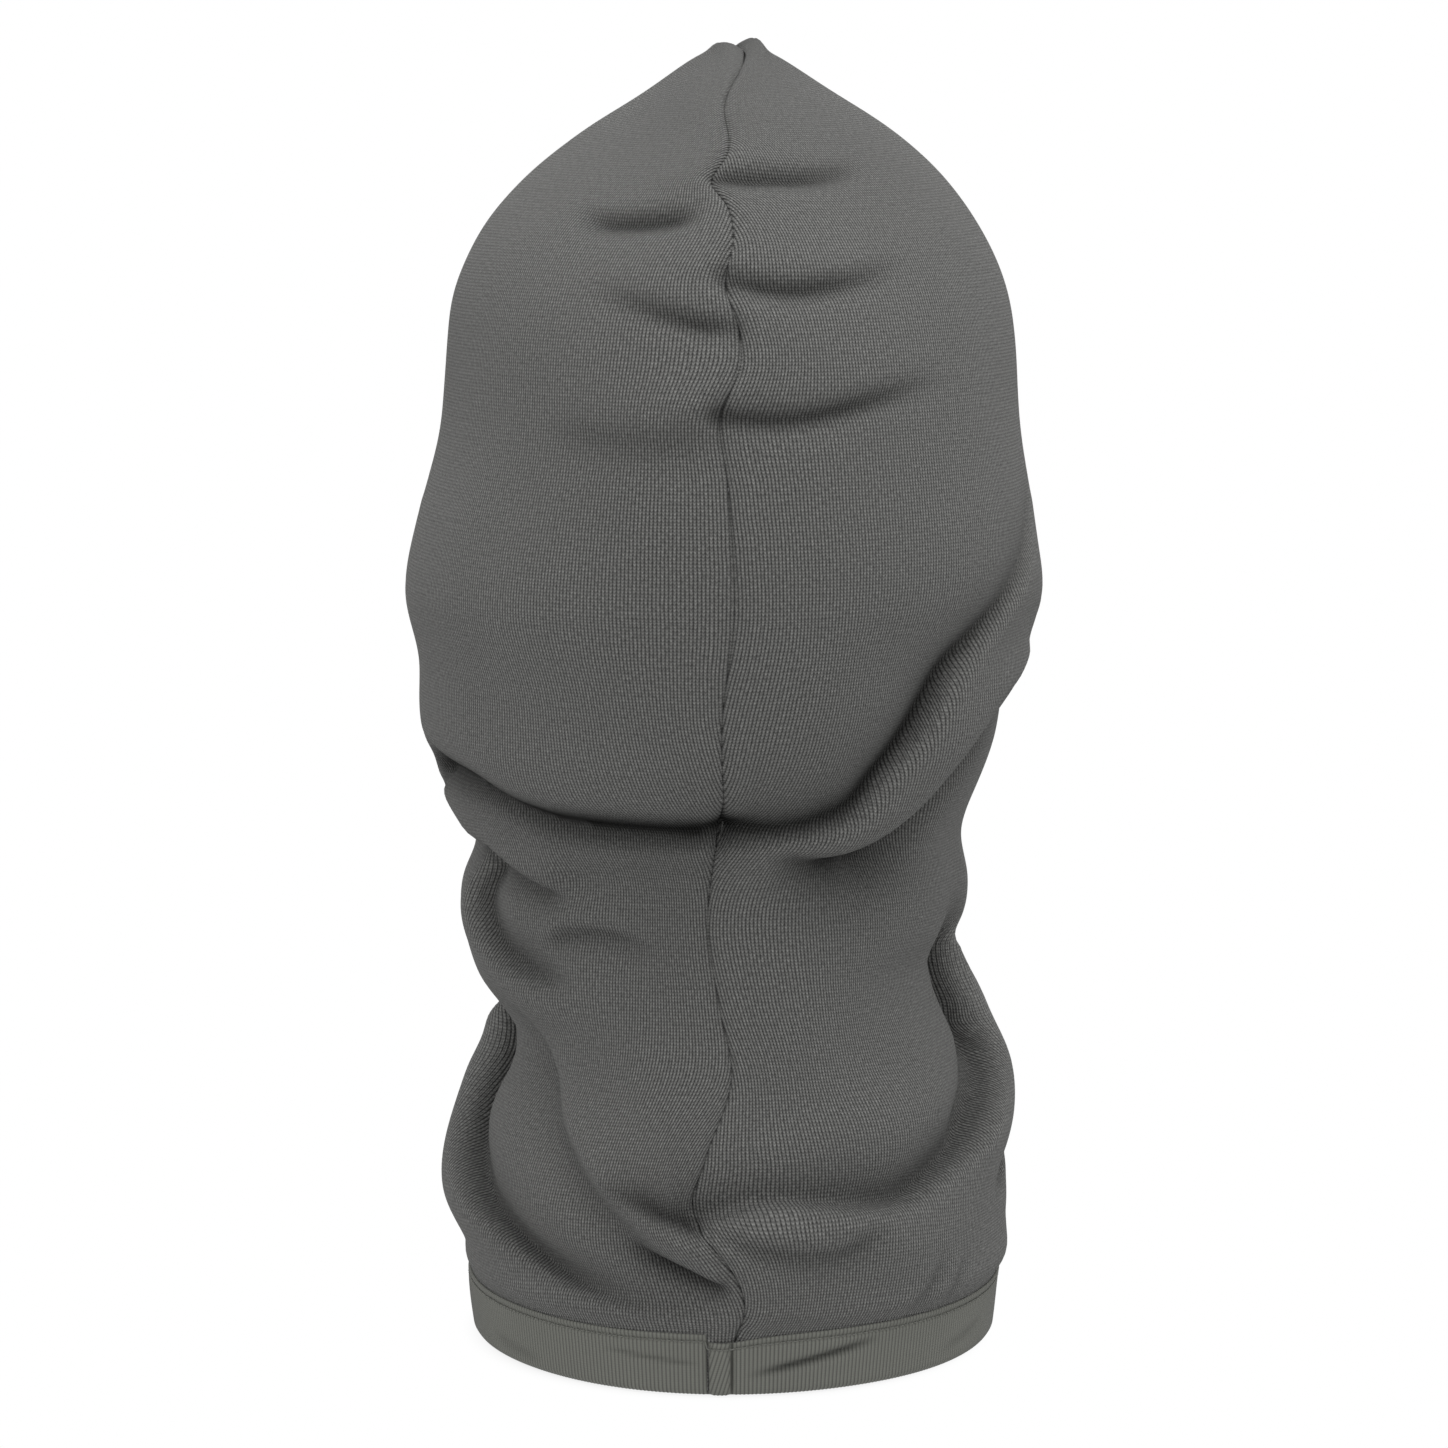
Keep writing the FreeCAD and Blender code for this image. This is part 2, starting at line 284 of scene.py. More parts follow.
def add_back_folds():
    # The head's bulk folds over at the nape, deepest on the left half.
    fold([(96, 158), (78, 161), (63, 164.5), (49, 163), (36, 157.5), (28, 155.5), (10, 155), (0, 156.5),
          (-10, 160)],
         2.8, 16, 9.0, 5, crest=13, curve=1.1, wall=2.0, edge=.5, shade=1.0, under=7, beside=(.65, 4),
         strength=[0, .6, .9, 1, 1, 1, 1, .9, 0])
    fold([(98, 158), (82, 150), (70, 146), (61, 143), (50, 138), (42, 135), (35, 132)],
         3.2, 9, 3.4, 6, lean=1.6, crest=5, edge=[2, 2, 2, 1.4, .8, .6, .6], shade=0.45,
         strength=[0, 1, 1, .9, .8, .7, 0])
    # A soft step from the second roll to the flat of the neck.
    fold([(50, 139), (36, 141), (20, 144), (6, 145), (0, 147)], 1.3, 7, 1.2, 7, edge=3, crest=6, curve=2,
         shade=0.1)
    # A long roll runs from behind the right ear down to the nape.
    fold([(-84, 250), (-72, 238), (-57, 217), (-44, 200), (-36, 182), (-29, 170), (-24, 162.5),
          (-16, 158), (-8, 156), (0, 156)],
         2.4, 12, 6.8, 10, edge=.8, crest=7, curve=1.3, shade=1.0, under=1.5, beside=(1.0, 6),
         strength=[0, .3, .5, .8, 1, 1, 1, 1, 1, .7])
    fold([(-6, 149), (-12, 147.5), (-17, 146), (-23, 146.5), (-30, 149.5), (-37, 154.6), (-42, 161),
          (-47, 170), (-56, 182.5), (-66, 193), (-80, 204), (-96, 214)],
         3.6, 10, 9.4, 9, lean=1.0, crest=8, curve=1.3, shade=1.0, under=3, beside=(1.0, 5.5),
         edge=[.8, .8, .8, .8, .8, .8, 1, 1.2, 1.5, 2, 2, 2],
         strength=[0, .4, .6, .9, 1, 1, 1, 1, 1, .9, .6, 0])
    # The long roll's underside is a broad valley on the right: sunk a little, and darkened by painted
    # shade.
    fold([(-24, 143), (-33, 146), (-40, 151), (-45, 157), (-50, 166), (-59, 179), (-72, 192)],
         0.0, 5, 4.8, 8, edge=3, crest=5, curve=2, shade=1.0, under=7, beside=(1.0, 4.5),
         strength=[0, .8, 1, 1, 1, .8, 0])
    # The slack neck: a pocket on the left and the pleat beside it.
    fold([(34, 112), (43, 112), (51, 115), (57, 120), (61, 128), (62, 138), (62, 149)],
         2.2, 8, 4.6, 8, edge=2.2, crest=6, curve=1.6, shade=0.5, strength=[0, .6, 1, 1, 1, .8, 0])
    fold([(47, 119), (40, 122), (36, 124), (28, 125), (20, 123), (13, 119)],
         1.2, 6, 2.3, 4, edge=.6, crest=4, shade=0.4, strength=[0, .7, 1, 1, .5, 0])
    # The neck's left edge runs down to the seam, with a trough outside it.
    fold([(68, 104), (57, 95), (49, 84), (42, 74), (33, 63), (25, 53), (16, 44), (8, 37), (0, 32)],
         1.8, 10, 3.6, 9, edge=2.0, crest=6, curve=1.6, shade=0.25,
         strength=[0, .5, .7, .8, .9, 1, 1, .9, 0])
    # The cowl: slack cloth rolled up round the foot of the neck.
    fold([(-6, 26), (12, 26), (24, 27), (35, 30), (42, 34), (49, 40), (56, 46), (63, 60), (69, 78),
          (74, 94), (84, 104)],
         2.6, 15, 8.6, 13, lean=2.6, crest=[6, 6, 6, 6, 6, 7, 8, 10, 12, 12, 12], shade=0.35,
         edge=[.8, .8, .8, .8, .8, .8, 1, 1.6, 2.2, 2.2, 2.2],
         strength=[0, .3, .5, .7, .8, 1, 1, 1, .9, .6, 0])
    fold([(-92, 122), (-80, 117), (-70, 112), (-66, 98), (-63, 82), (-58, 70), (-52, 63), (-44, 57),
          (-34, 52), (-19, 54), (-10, 55.5), (-3, 54.5), (4, 51), (8, 48.5), (11, 46)],
         2.8, 16, 8.6, 15, lean=2.6, crest=[12, 12, 12, 12, 11, 9, 8, 7, 7, 6, 6, 5, 5, 5, 5],
         edge=[2.4, 2.4, 2.4, 2.2, 1.8, 1.2, 1, .8, .8, .8, .8, .6, .6, .6, .6], shade=0.35,
         strength=[0, .6, .9, 1, 1, 1, 1, .9, .8, .7, .65, .65, .7, .6, 0])
    fold([(-92, 94), (-80, 86), (-70, 78), (-62, 69), (-57, 62)], 1.0, 6, 2.2, 6, lean=.5, edge=1.6)
    fold([(-96, 56), (-84, 51), (-76, 47), (-70, 42)], .8, 7, 1.8, 6, crest=4)
    # Creases where the seam is caught between the neck's edge and the cowl.
    fold([(24, 48), (17, 41), (12, 38), (7, 35), (2, 32.5), (-2, 32)], 1.2, 5, 3.4, 4.5, lean=1.2,
         edge=.4, crest=4, shade=0.85, strength=[0, .6, 1, 1, .8, 0])
    fold([(7, 48), (9, 49.5), (12, 52), (16, 55), (21, 57), (28, 58)], 1.0, 6, 3.4, 6, lean=.6, edge=.6,
         crest=4, shade=0.75, strength=[.7, 1, 1, .8, .5, 0])
    fold([(4, 45), (-8, 42), (-16, 40), (-24, 41), (-34, 46)], 1.0, 5, 2.0, 6, edge=2, crest=4, curve=2,
         shade=0.35)
    # Small gathers just above the hem.
    fold([(-40, 22), (-43, 26), (-46, 31), (-48, 36)], .5, 3, .8, 2.4, crest=2.5, strength=[.7, 1, .7, 0])
    fold([(-50, 22), (-53, 27), (-57, 32)], .4, 3, .6, 2.4, crest=2.5, strength=[.7, 1, 0])
    # Broad slackness of the neck's back.
    fold([(-52, 92), (-36, 88), (-20, 82), (-8, 77), (0, 73)], .7, 12, 1.1, 10, edge=4, crest=12, curve=2,
         shade=0.0)


def add_seam_puckers():
    """Short gathers beside the back seam, each a swell that tucks under at its lower edge."""
    shape = dict(swell=.8, swell_reach=8, hollow=3.2, hollow_reach=2.2, lean=.8, edge=.4, crest=5.5,
                 wall=1.2, shade=0.6)
    fold([(6, 331), (0, 330), (-8, 330), (-17, 330), (-26, 331), (-36, 334)],
         strength=[0, .9, 1, .8, .5, 0], **shape)
    fold([(1, 304), (-4, 302), (-10, 301), (-17, 302), (-25, 304), (-36, 309)],
         strength=[.6, .9, 1, .8, .5, 0], **shape)
    fold([(2, 269), (-4, 268), (-10, 268), (-17, 270), (-26, 273), (-42, 277)],
         strength=[.8, 1, 1, .9, .6, 0], **shape)
    fold([(36, 321), (26, 318), (18, 318), (10, 319), (3, 321)], strength=[0, .7, 1, .9, 0], **shape)
    fold([(28, 302), (20, 299), (11, 295), (4, 292), (-1, 291)], strength=[0, .3, .6, .8, .5], **shape)
    fold([(34, 264), (22, 262), (10, 261), (0, 264)], 0.6, 9, 1.4, 8, edge=2, crest=8, curve=2,
         shade=0.15, strength=[0, .8, 1, .5])


def add_front_folds():
    # Below the chin the slack cloth hangs in shallow bows from side to side.
    bow = dict(swell=1.8, swell_reach=9, hollow=3.0, hollow_reach=9, edge=2, curve=1.5)
    fold([(104, 128), (122, 112), (146, 100), (180, 96)], crest=8, strength=[0, .7, 1, 1], **bow)
    fold([(-180, 96), (-150, 99), (-124, 108), (-104, 124)], crest=8, strength=[1, 1, .7, 0], **bow)
    # The cowl runs on to the front.
    cowl = dict(swell=2.4, swell_reach=13, hollow=5.5, hollow_reach=12, lean=1.8, crest=6)
    fold([(84, 104), (98, 92), (116, 76), (140, 62), (162, 56)], strength=[0, 1, 1, .7, 0], **cowl)
    fold([(-164, 54), (-142, 62), (-120, 78), (-104, 98), (-92, 122)], strength=[0, .7, 1, .9, 0], **cowl)
    foot = dict(swell=1.6, swell_reach=8, hollow=2.4, hollow_reach=7, edge=2, curve=1.5)
    fold([(96, 30), (118, 38), (140, 36), (158, 30)], **foot)
    fold([(-166, 28), (-146, 36), (-124, 40), (-100, 34)], **foot)
    # Soft bows at the sides of the jaw.
    fold([(96, 172), (112, 160), (126, 150), (138, 142)], **bow)
    fold([(-140, 144), (-126, 154), (-110, 168), (-96, 186)], **bow)


# Ease of the outline at each side, and the sideways drift of the back seam: (height, mm).
LEFT_EASE = [(0, -1.6), (18, -2), (26, -3), (42, 0), (60, -2), (72, -4.4), (84, -7.8), (95, -6),
             (104, 0), (112, 3), (131, 5), (141, 1.4), (150, 1.6), (159, 5), (170, 2), (180, -.4),
             (194, -2.4), (214, .5), (232, -.4), (256, -2.6), (300, -2), (322, -3), (340, -6.5),
             (362, -12)]
RIGHT_EASE = [(0, 1.6), (18, 1.4), (26, 2), (36, -.2), (50, -2), (62, 1), (76, 2.6), (92, -2.5),
              (104, -6.8), (112, -7.5), (119, -4.5), (130, -2.4), (145, -5), (158, -5.2), (178, -5.8),
              (190, -6.6), (200, -7.2), (220, -2.6), (232, -1.6), (256, -1.2), (300, -.8), (322, -.5),
              (340, -1), (362, -4.5)]
SEAM_DRIFT = [(0, 0), (14, -1.5), (25, -4.5), (38, 0), (50, 9), (67, 6), (88, -1), (108, 2.5),
              (130, 5.5), (144, 4.5), (160, 1.5), (190, 1.5), (215, -1.5), (250, 0), (270, 1.8),
              (283, -3.4), (294, -2), (304, .6), (315, -1.4), (323, 0), (330, 4), (338, 0), (350, 1),
              (364, -4.6)]
SEAM_DRIFT_REACH = 20.0
EASE_START = 20.0               # the ease starts this far from the middle, below the crown
EASE_RAMP = 42.0                # and is complete this much farther out
DOME_HEIGHTS = (205.0, 270.0)   # folds move level below these heights and outward above them
TAPE_CLEAR = (15.0, 24.0)       # folds come in between these heights, clear of the hem tape
UNEVENNESS = [(48.0, 0.9), (19.0, 0.28)]   # size and depth of the cloth's small unevenness


class Form:
    """The hood's cloth as grids of points: one grid for each side of the middle plane."""

    def __init__(self):
        self.angles = column_angles()
        self.rows = row_rays()
        left = base_grid(self.angles, self.rows)
        self.base = {1: left, -1: left * np.array([-1.0, 1.0, 1.0])}
        self.normals = {1: grid_normals(left)}
        self.normals[-1] = self.normals[1] * np.array([-1.0, 1.0, 1.0])
        self.points = {}
        self.seam_free = {}
        self.painted_shade = {}
        for side in (1, -1):
            self.seam_free[side] = self.draped(side)
        self.weld_seams()
        for side in (1, -1):
            sheet = self.seam_free[side]
            self.points[side] = sheet - self.outward(sheet, side) * seam_groove(self.base[side], side)

    def outward(self, sheet, side):
        """Outward normals; the undraped surface's where points are too close together to tell."""
        found = grid_normals(sheet) * side
        plain = self.normals[side]
        return np.where((found * plain).sum(-1, keepdims=True) > -0.6, found, plain)

    def seam_inward(self, column):
        """Directions in which the allowances stand, along the back seam (0) or the front (-1).

        They lean against the seam's drift, so that the free edge keeps near the middle plane."""
        sheet = self.seam_free[1]
        inward = -self.outward(sheet, 1)[:, column]
        inward[:, 0] = 0.0
        inward = unit(blur(inward[:, None], 14)[:, 0])
        drift = np.clip(sheet[:, column, 0], -6.0, 6.0)
        lean = -drift / ALLOWANCE_DEPTHS[-1]
        return inward + np.stack([lean, 0 * lean, 0 * lean], axis=1)

    def weld_seams(self):
        """Both sides meet along the seams: each takes the average of the two."""
        for column in (0, -1):
            meet = (self.seam_free[1][:, column] + self.seam_free[-1][:, column]) / 2.0
            for side in (1, -1):
                self.seam_free[side][:, column] = meet

    def place(self, angle, height):
        """A point of the undraped surface."""
        side = 1 if angle >= 0 else -1
        grid = self.base[side]
        column = np.interp(abs(angle), self.angles, np.arange(len(self.angles)))
        low = int(min(column, len(self.angles) - 2))
        strip = grid[:, low] + (grid[:, low + 1] - grid[:, low]) * (column - low)
        row = np.interp(height, strip[:, 2], np.arange(len(strip)))
        first = int(min(row, len(strip) - 2))
        return strip[first] + (strip[first + 1] - strip[first]) * (row - first)

    def line(self, path, sink):
        """A smooth line through a fold's points, with its length so far as shares.

        The path is where the fold is seen from behind.  A crease sinks by up to sink, which draws it in
        towards the middle, and the seam's drift moves the cloth beside it, so the line is laid
        where both together bring it to its path."""
        path = np.array(path, float)
        for k, share in enumerate(np.broadcast_to(sink, len(path))):
            if abs(path[k, 0]) < 88.0:
                x, y, _ = self.place(*path[k])
                drift = float(through(SEAM_DRIFT, path[k, 1]))
                aim = x
                for _ in range(8):
                    aim = x - drift * hill(aim, 0.0, SEAM_DRIFT_REACH)
                radius = math.hypot(x, y)
                seen = aim / radius * (1.0 + share / radius)
                path[k, 0] = math.degrees(math.asin(min(max(seen, -0.9976), 0.9976)))
        ends = np.vstack([2 * path[0] - path[1], path, 2 * path[-1] - path[-2]])
        knots, where = [], []
        steps = 8
        for k in range(len(path) - 1):
            p0, p1, p2, p3 = ends[k:k + 4]
            for s in range(steps):
                t = s / steps
                knots.append(.5 * (2 * p1 + (p2 - p0) * t + (2 * p0 - 5 * p1 + 4 * p2 - p3) * t * t
                                   + (3 * p1 - p0 - 3 * p2 + p3) * t ** 3))
                where.append(k + t)
        knots.append(path[-1])
        where.append(len(path) - 1.0)
        return np.array([self.place(*k) for k in knots]), np.array(where)

    def draped(self, side):
        """The surface with its outline ease, folds, seam drift and small unevenness.

        Below the head's dome the folds move level, so that none hides under the head's bulge.  Just
        above the hem tape the cloth bulges over it a little."""
        base = self.base[side]
        normals = self.normals[side]
        level = np.ones_like(base)
        level[..., 2] = 0.1 + 0.9 * smoothstep(*DOME_HEIGHTS, base[..., 2])
        flat_points = base.reshape(-1, 3)
        flat_normals = unit(normals * level).reshape(-1, 3)
        move = np.zeros_like(flat_points)
        # Each point keeps the darkest painted shade of all the folds; the knit darkens its colour by it.
        painted_shade = np.zeros(len(flat_points))
        for each in FOLDS:
            line = self.line(each["path"], each["hollow"] * np.array(each["strength"]))
            moved, fold_painted_shade = fold_move(line, each, flat_points, flat_normals)
            move += moved
            painted_shade = np.maximum(painted_shade, fold_painted_shade)
        self.painted_shade[side] = blur(painted_shade.reshape(base.shape[:2]), 1)
        move = move.reshape(base.shape)
        heights = base[..., 2]
        move *= smoothstep(*TAPE_CLEAR, heights)[..., None]
        ease = through(LEFT_EASE if side > 0 else RIGHT_EASE, heights)
        start = EASE_START * smoothstep(325.0, 280.0, heights)
        sideways = smoothstep(0.0, EASE_RAMP, np.abs(base[..., 0]) - start)
        move[..., 0] += side * ease * sideways * smoothstep(-85.0, -35.0, base[..., 1])
        back = smoothstep(-20.0, 20.0, base[..., 1]) * hill(base[..., 0], 0.0, SEAM_DRIFT_REACH)
        move[..., 0] += through(SEAM_DRIFT, heights) * back
        outward = 1.1 * hill(heights, 23.0, 3.6) - 0.5 * hill(heights, 17.6, 1.7)
        for size, depth in UNEVENNESS:
            bumps = np.array([noise.noise(Vector(p) / size) for p in flat_points])
            outward += bumps.reshape(heights.shape) * depth * smoothstep(10.0, 40.0, heights)
        return base + blur(move + normals * outward[..., None], 1)


def fold_move(line, fold_values, points, normals):
    """How one fold moves each point, and how dark it makes the point's painted shade, from 0 to 1."""
    knots, where = line
    reach = max(fold_values["swell_reach"], fold_values["hollow_reach"]) * 2.4 + 10.0
    low, high = knots.min(0) - reach, knots.max(0) + reach
    near = np.all((points > low) & (points < high), axis=1)
    result = np.zeros_like(points)
    if not near.any():
        return result, np.zeros(len(points))
    p, n = points[near], normals[near]
    best = np.full(len(p), 1e9)
    side = np.zeros(len(p))
    share = np.zeros(len(p))
    across = np.zeros_like(p)
    ways = np.gradient(knots, axis=0)
    for k in range(len(knots) - 1):
        a, b = knots[k], knots[k + 1]
        step = b - a
        t = np.clip(((p - a) @ step) / max(step @ step, 1e-9), 0.0, 1.0)
        offset = p - (a + t[:, None] * step)
        distance = np.linalg.norm(offset, axis=1)
        right = np.cross(ways[k] + t[:, None] * (ways[k + 1] - ways[k]), n)
        closer = distance < best
        best[closer] = distance[closer]
        side[closer] = np.sign((offset * right).sum(1))[closer]
        share[closer] = (where[k] + t * (where[k + 1] - where[k]))[closer]
        across[closer] = unit(right)[closer]
    d = best * side                       # positive in the hollow
    count = len(fold_values["path"])

    def along(name):
        return np.interp(share, np.arange(count), np.broadcast_to(fold_values[name], count))

    strength = smoothstep(0.0, 1.0, along("strength"))
    crest, edge, wall_power = along("crest"), along("edge"), along("wall")
    swell, hollow = fold_values["swell"], fold_values["hollow"]
    rounded = np.sqrt(d * d + edge * edge) - edge
    near_crest = np.clip(rounded / crest, 0.0, 1.0)
    wall = 1.0 - (1.0 - near_crest) ** wall_power
    above = np.where(rounded < crest, (swell + hollow) * wall - hollow,
                     swell * hill(rounded, crest, fold_values["swell_reach"]))
    below = -hollow * np.exp(-(rounded / fold_values["hollow_reach"]) ** fold_values["curve"])
    lift = np.where(d < 0.0, above, below)
    lean = hill(d, -0.6 * crest, 0.9 * crest) * smoothstep(0.0, 1.0, -d / (0.35 * crest))
    lean = fold_values["lean"] * (lean - 0.5 * hill(d, 0.0, 2.2))
    result[near] = (n * lift[:, None] + across * lean[:, None]) * strength[:, None]
    # Painted shade: the cloth's colour is darkened up the swell within under and in the hollow from beside,
    # in place of shade from the light.
    painted_shade = np.zeros(len(points))
    under = np.exp(-(np.abs(d) / fold_values["under"]) ** 3)
    darkness, spread = fold_values["beside"]
    beside = darkness * np.exp(-np.maximum(d - fold_values["lean"], 0.0) / spread)
    painted_shade[near] = np.where(d < 0.0, under, beside) * strength * fold_values["shade"]
    return result, painted_shade


def seam_groove(base, side):
    """Depth that the cloth dips by on its way into the seam, with a faint swell beside it.

    The crown has more slack, so its two sides stand up beside the seam, the right one higher."""
    away = np.abs(base[..., 0])
    crown = smoothstep(352.0, 364.0, base[..., 2]) * hill(base[..., 1], 0.0, 16.0)
    swell = 0.3 * hill(away, 4.5, 2.6)
    peak = (1.2 if side > 0 else 2.4) * crown * hill(away, 4.6, 3.2)
    return ((1.5 + crown) * np.exp(-away / 0.95) - swell - peak)[..., None]


# ---- cloth panels ----------------------------------------
WIDEST = 212.0                  # height at which the wales are evenly spaced
GIVE = 30.0                     # the most that a row's half gives way in width
GIVE_SHARE = 0.65               # and the share of its narrowing that it gives at first


def allowance_columns(form, side, column):
    """Outer and inner points of the turned-in edge at the back seam (column 0) or front (-1)."""
    seam = form.seam_free[side][:, column]
    inward = form.seam_inward(column)
    outer, inner = [], []
    for depth in ALLOWANCE_DEPTHS:
        face = seam + inward * depth
        outer.append(face + np.array([side * SEAM_HALF_GAP, 0, 0]))
        inner.append(face + np.array([side * CLOTH * 0.85, 0, 0]))
    return outer, inner


def inner_sheet(form, side):
    """The brushed side: a cloth's thickness inside the face, and clear of the seam allowance."""
    sheet = form.seam_free[side]
    normals = unit(blur(form.outward(sheet, side), 3))
    inside = sheet - normals * CLOTH
    away = np.abs(form.base[side][..., 0])
    pushed = CLOTH * np.exp(-away / 2.2)
    inside[..., 0] += side * pushed
    return inside


def weave_map(sheet, angles):
    """Distances in mm along the rows from the side line, and up the columns from the head's middle.

    Where the rows get shorter, the cloth gives way in width, so that its wales run along the seam."""
    across = np.linalg.norm(np.diff(sheet, axis=1), axis=2)
    across = np.concatenate([np.zeros((len(sheet), 1)), np.cumsum(across, axis=1)], axis=1)
    middle = int(np.argmin(np.abs(angles - 90.0)))
    across -= across[:, middle:middle + 1]
    level = int(np.argmin(np.abs(sheet[:, middle, 2] - WIDEST)))
    narrowing = GIVE * np.tanh((across[:, :1] - across[level, 0]) / GIVE)
    across -= GIVE_SHARE * narrowing * np.clip(1.0 - angles / 90.0, 0.0, 1.0)
    up = np.linalg.norm(np.diff(sheet, axis=0), axis=2)
    up = np.concatenate([np.zeros((1, sheet.shape[1])), np.cumsum(up, axis=0)], axis=0)
    up -= up[level:level + 1]
    return np.stack([blur(across, 2), blur(up, 2)], axis=-1)


def row_stretch(form, side):
    """How much longer the draped rows are than the weave map says, point by point."""
    lengths = [np.linalg.norm(np.gradient(grid, axis=1), axis=2)
               for grid in (form.seam_free[side], form.base[side])]
    return blur(lengths[0] / np.maximum(lengths[1], 1e-6), 1)


def thick_sheet(rows, columns, keep, over_pole=False):
    """Faces of a closed sheet made of two grids of points, joined along every open edge.

    keep marks the grid's cells.  The outer grid's points come first, then the inner grid's.  With
    over_pole, the last row closes on itself, back to front.  Each face's kind is 0 for the outer
    side, 1 for the inner and 2 for an edge."""
    count = rows * columns
    cells = [(i * columns + c, i * columns + c + 1, (i + 1) * columns + c + 1, (i + 1) * columns + c)
             for i in range(rows - 1) for c in range(columns - 1) if keep[i, c]]
    if over_pole:
        last = (rows - 1) * columns
        for c in range((columns - 1) // 2):
            far_side = columns - 1 - c
            corners = (last + c, last + c + 1, last + far_side - 1, last + far_side)
            cells.append(corners if corners[1] != corners[2] else corners[:1] + corners[2:])
    edges = {}
    for corners in cells:
        for start, end in zip(corners, corners[1:] + corners[:1]):
            if (end, start) in edges:
                del edges[(end, start)]
            else:
                edges[(start, end)] = True
    inner = [tuple(c + count for c in reversed(corners)) for corners in cells]
    rims = [(end, start, start + count, end + count) for start, end in edges]
    return cells + inner + rims, [0] * len(cells) + [1] * len(inner) + [2] * len(rims)


def face_share(points, grow):
    """Below 1 inside the face opening's outline, moved out by grow, seen from the front."""
    middle, half_width, half_height = opening_outline()
    share = ((points[..., 0] / (half_width + grow)) ** 2
             + ((points[..., 2] - middle) / (half_height + grow)) ** 2)
    return np.where(points[..., 1] < 0.0, share, 9.0)


def beside_edges(back, middle, front):
    """A sheet's points with the columns of both turned-in edges beside them."""
    return np.concatenate([np.stack(back[::-1], axis=1), middle, np.stack(front, axis=1)], axis=1)


def cloth_panel(form, side, word, materials):
    """One side panel: a closed sheet with its edges turned in at the seams."""
    back_out, back_in = allowance_columns(form, side, 0)
    front_out, front_in = allowance_columns(form, side, -1)
    face = form.points[side].copy()
    face[:, 0, 0] += side * SEAM_HALF_GAP
    face[:, -1, 0] += side * SEAM_HALF_GAP
    outer = beside_edges(back_out, face, front_out)
    inner = beside_edges(back_in, inner_sheet(form, side), front_in)
    fin = len(ALLOWANCE_DEPTHS)
    rows, columns = outer.shape[:2]

    opening = face_share(form.seam_free[side], 1.4) < 1.0
    inside = np.zeros((rows, columns), bool)
    inside[:, fin:-fin] = opening
    for k in range(fin):
        inside[:, -1 - k] = face_share(form.base[side][:, -1], FACE_BAND + 1.0) < 1.0
    hem_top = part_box("hem_binding")[1].z / MM
    low_rows = np.array([height < hem_top + 1.0 and rise == 0 for height, rise in form.rows])
    inside[low_rows, :fin] = True
    inside[low_rows, -fin:] = True
    keep = ~(inside[:-1, :-1] | inside[1:, :-1] | inside[:-1, 1:] | inside[1:, 1:])

    faces, kinds = thick_sheet(rows, columns, keep, over_pole=True)
    points = np.concatenate([outer.reshape(-1, 3), inner.reshape(-1, 3)])
    mesh = make_mesh(word + "_panel_cloth", points, faces)
    weave = weave_map(form.base[side], form.angles)
    weave = np.pad(weave, ((0, 0), (fin, fin), (0, 0)), mode="edge")
    set_weave(mesh, np.tile(weave.reshape(-1, 2), (2, 1)))
    mesh.polygons.foreach_set("material_index", [min(kind, 1) for kind in kinds])
    # The creases' painted shade goes to the knit as a darkening of its colour, with the rows' stretch.
    for share_name, values in (("painted_shade", form.painted_shade[side]), ("stretch", row_stretch(form, side))):
        padded = np.pad(values, ((0, 0), (fin, fin)), mode="edge")
        set_share(mesh, share_name, np.tile(padded.ravel(), 2))
    add_piece(mesh.name, mesh, materials, word + "_side_panel")


# ---- materials -------------------------------------------
FLEECE_COLOUR = (0.158, 0.158, 0.152)
BRUSHED_COLOUR = (0.168, 0.168, 0.161)
TAPE_COLOUR = (0.203, 0.206, 0.184)
LABEL_COLOUR = (0.72, 0.72, 0.69)
TAPE_LOOP = 0.7                 # height of one loop of the tape
LABEL_PICK = 0.25               # spacing of the label's crosswise threads
LABEL_WARP = 0.4                # and of its lengthwise threads


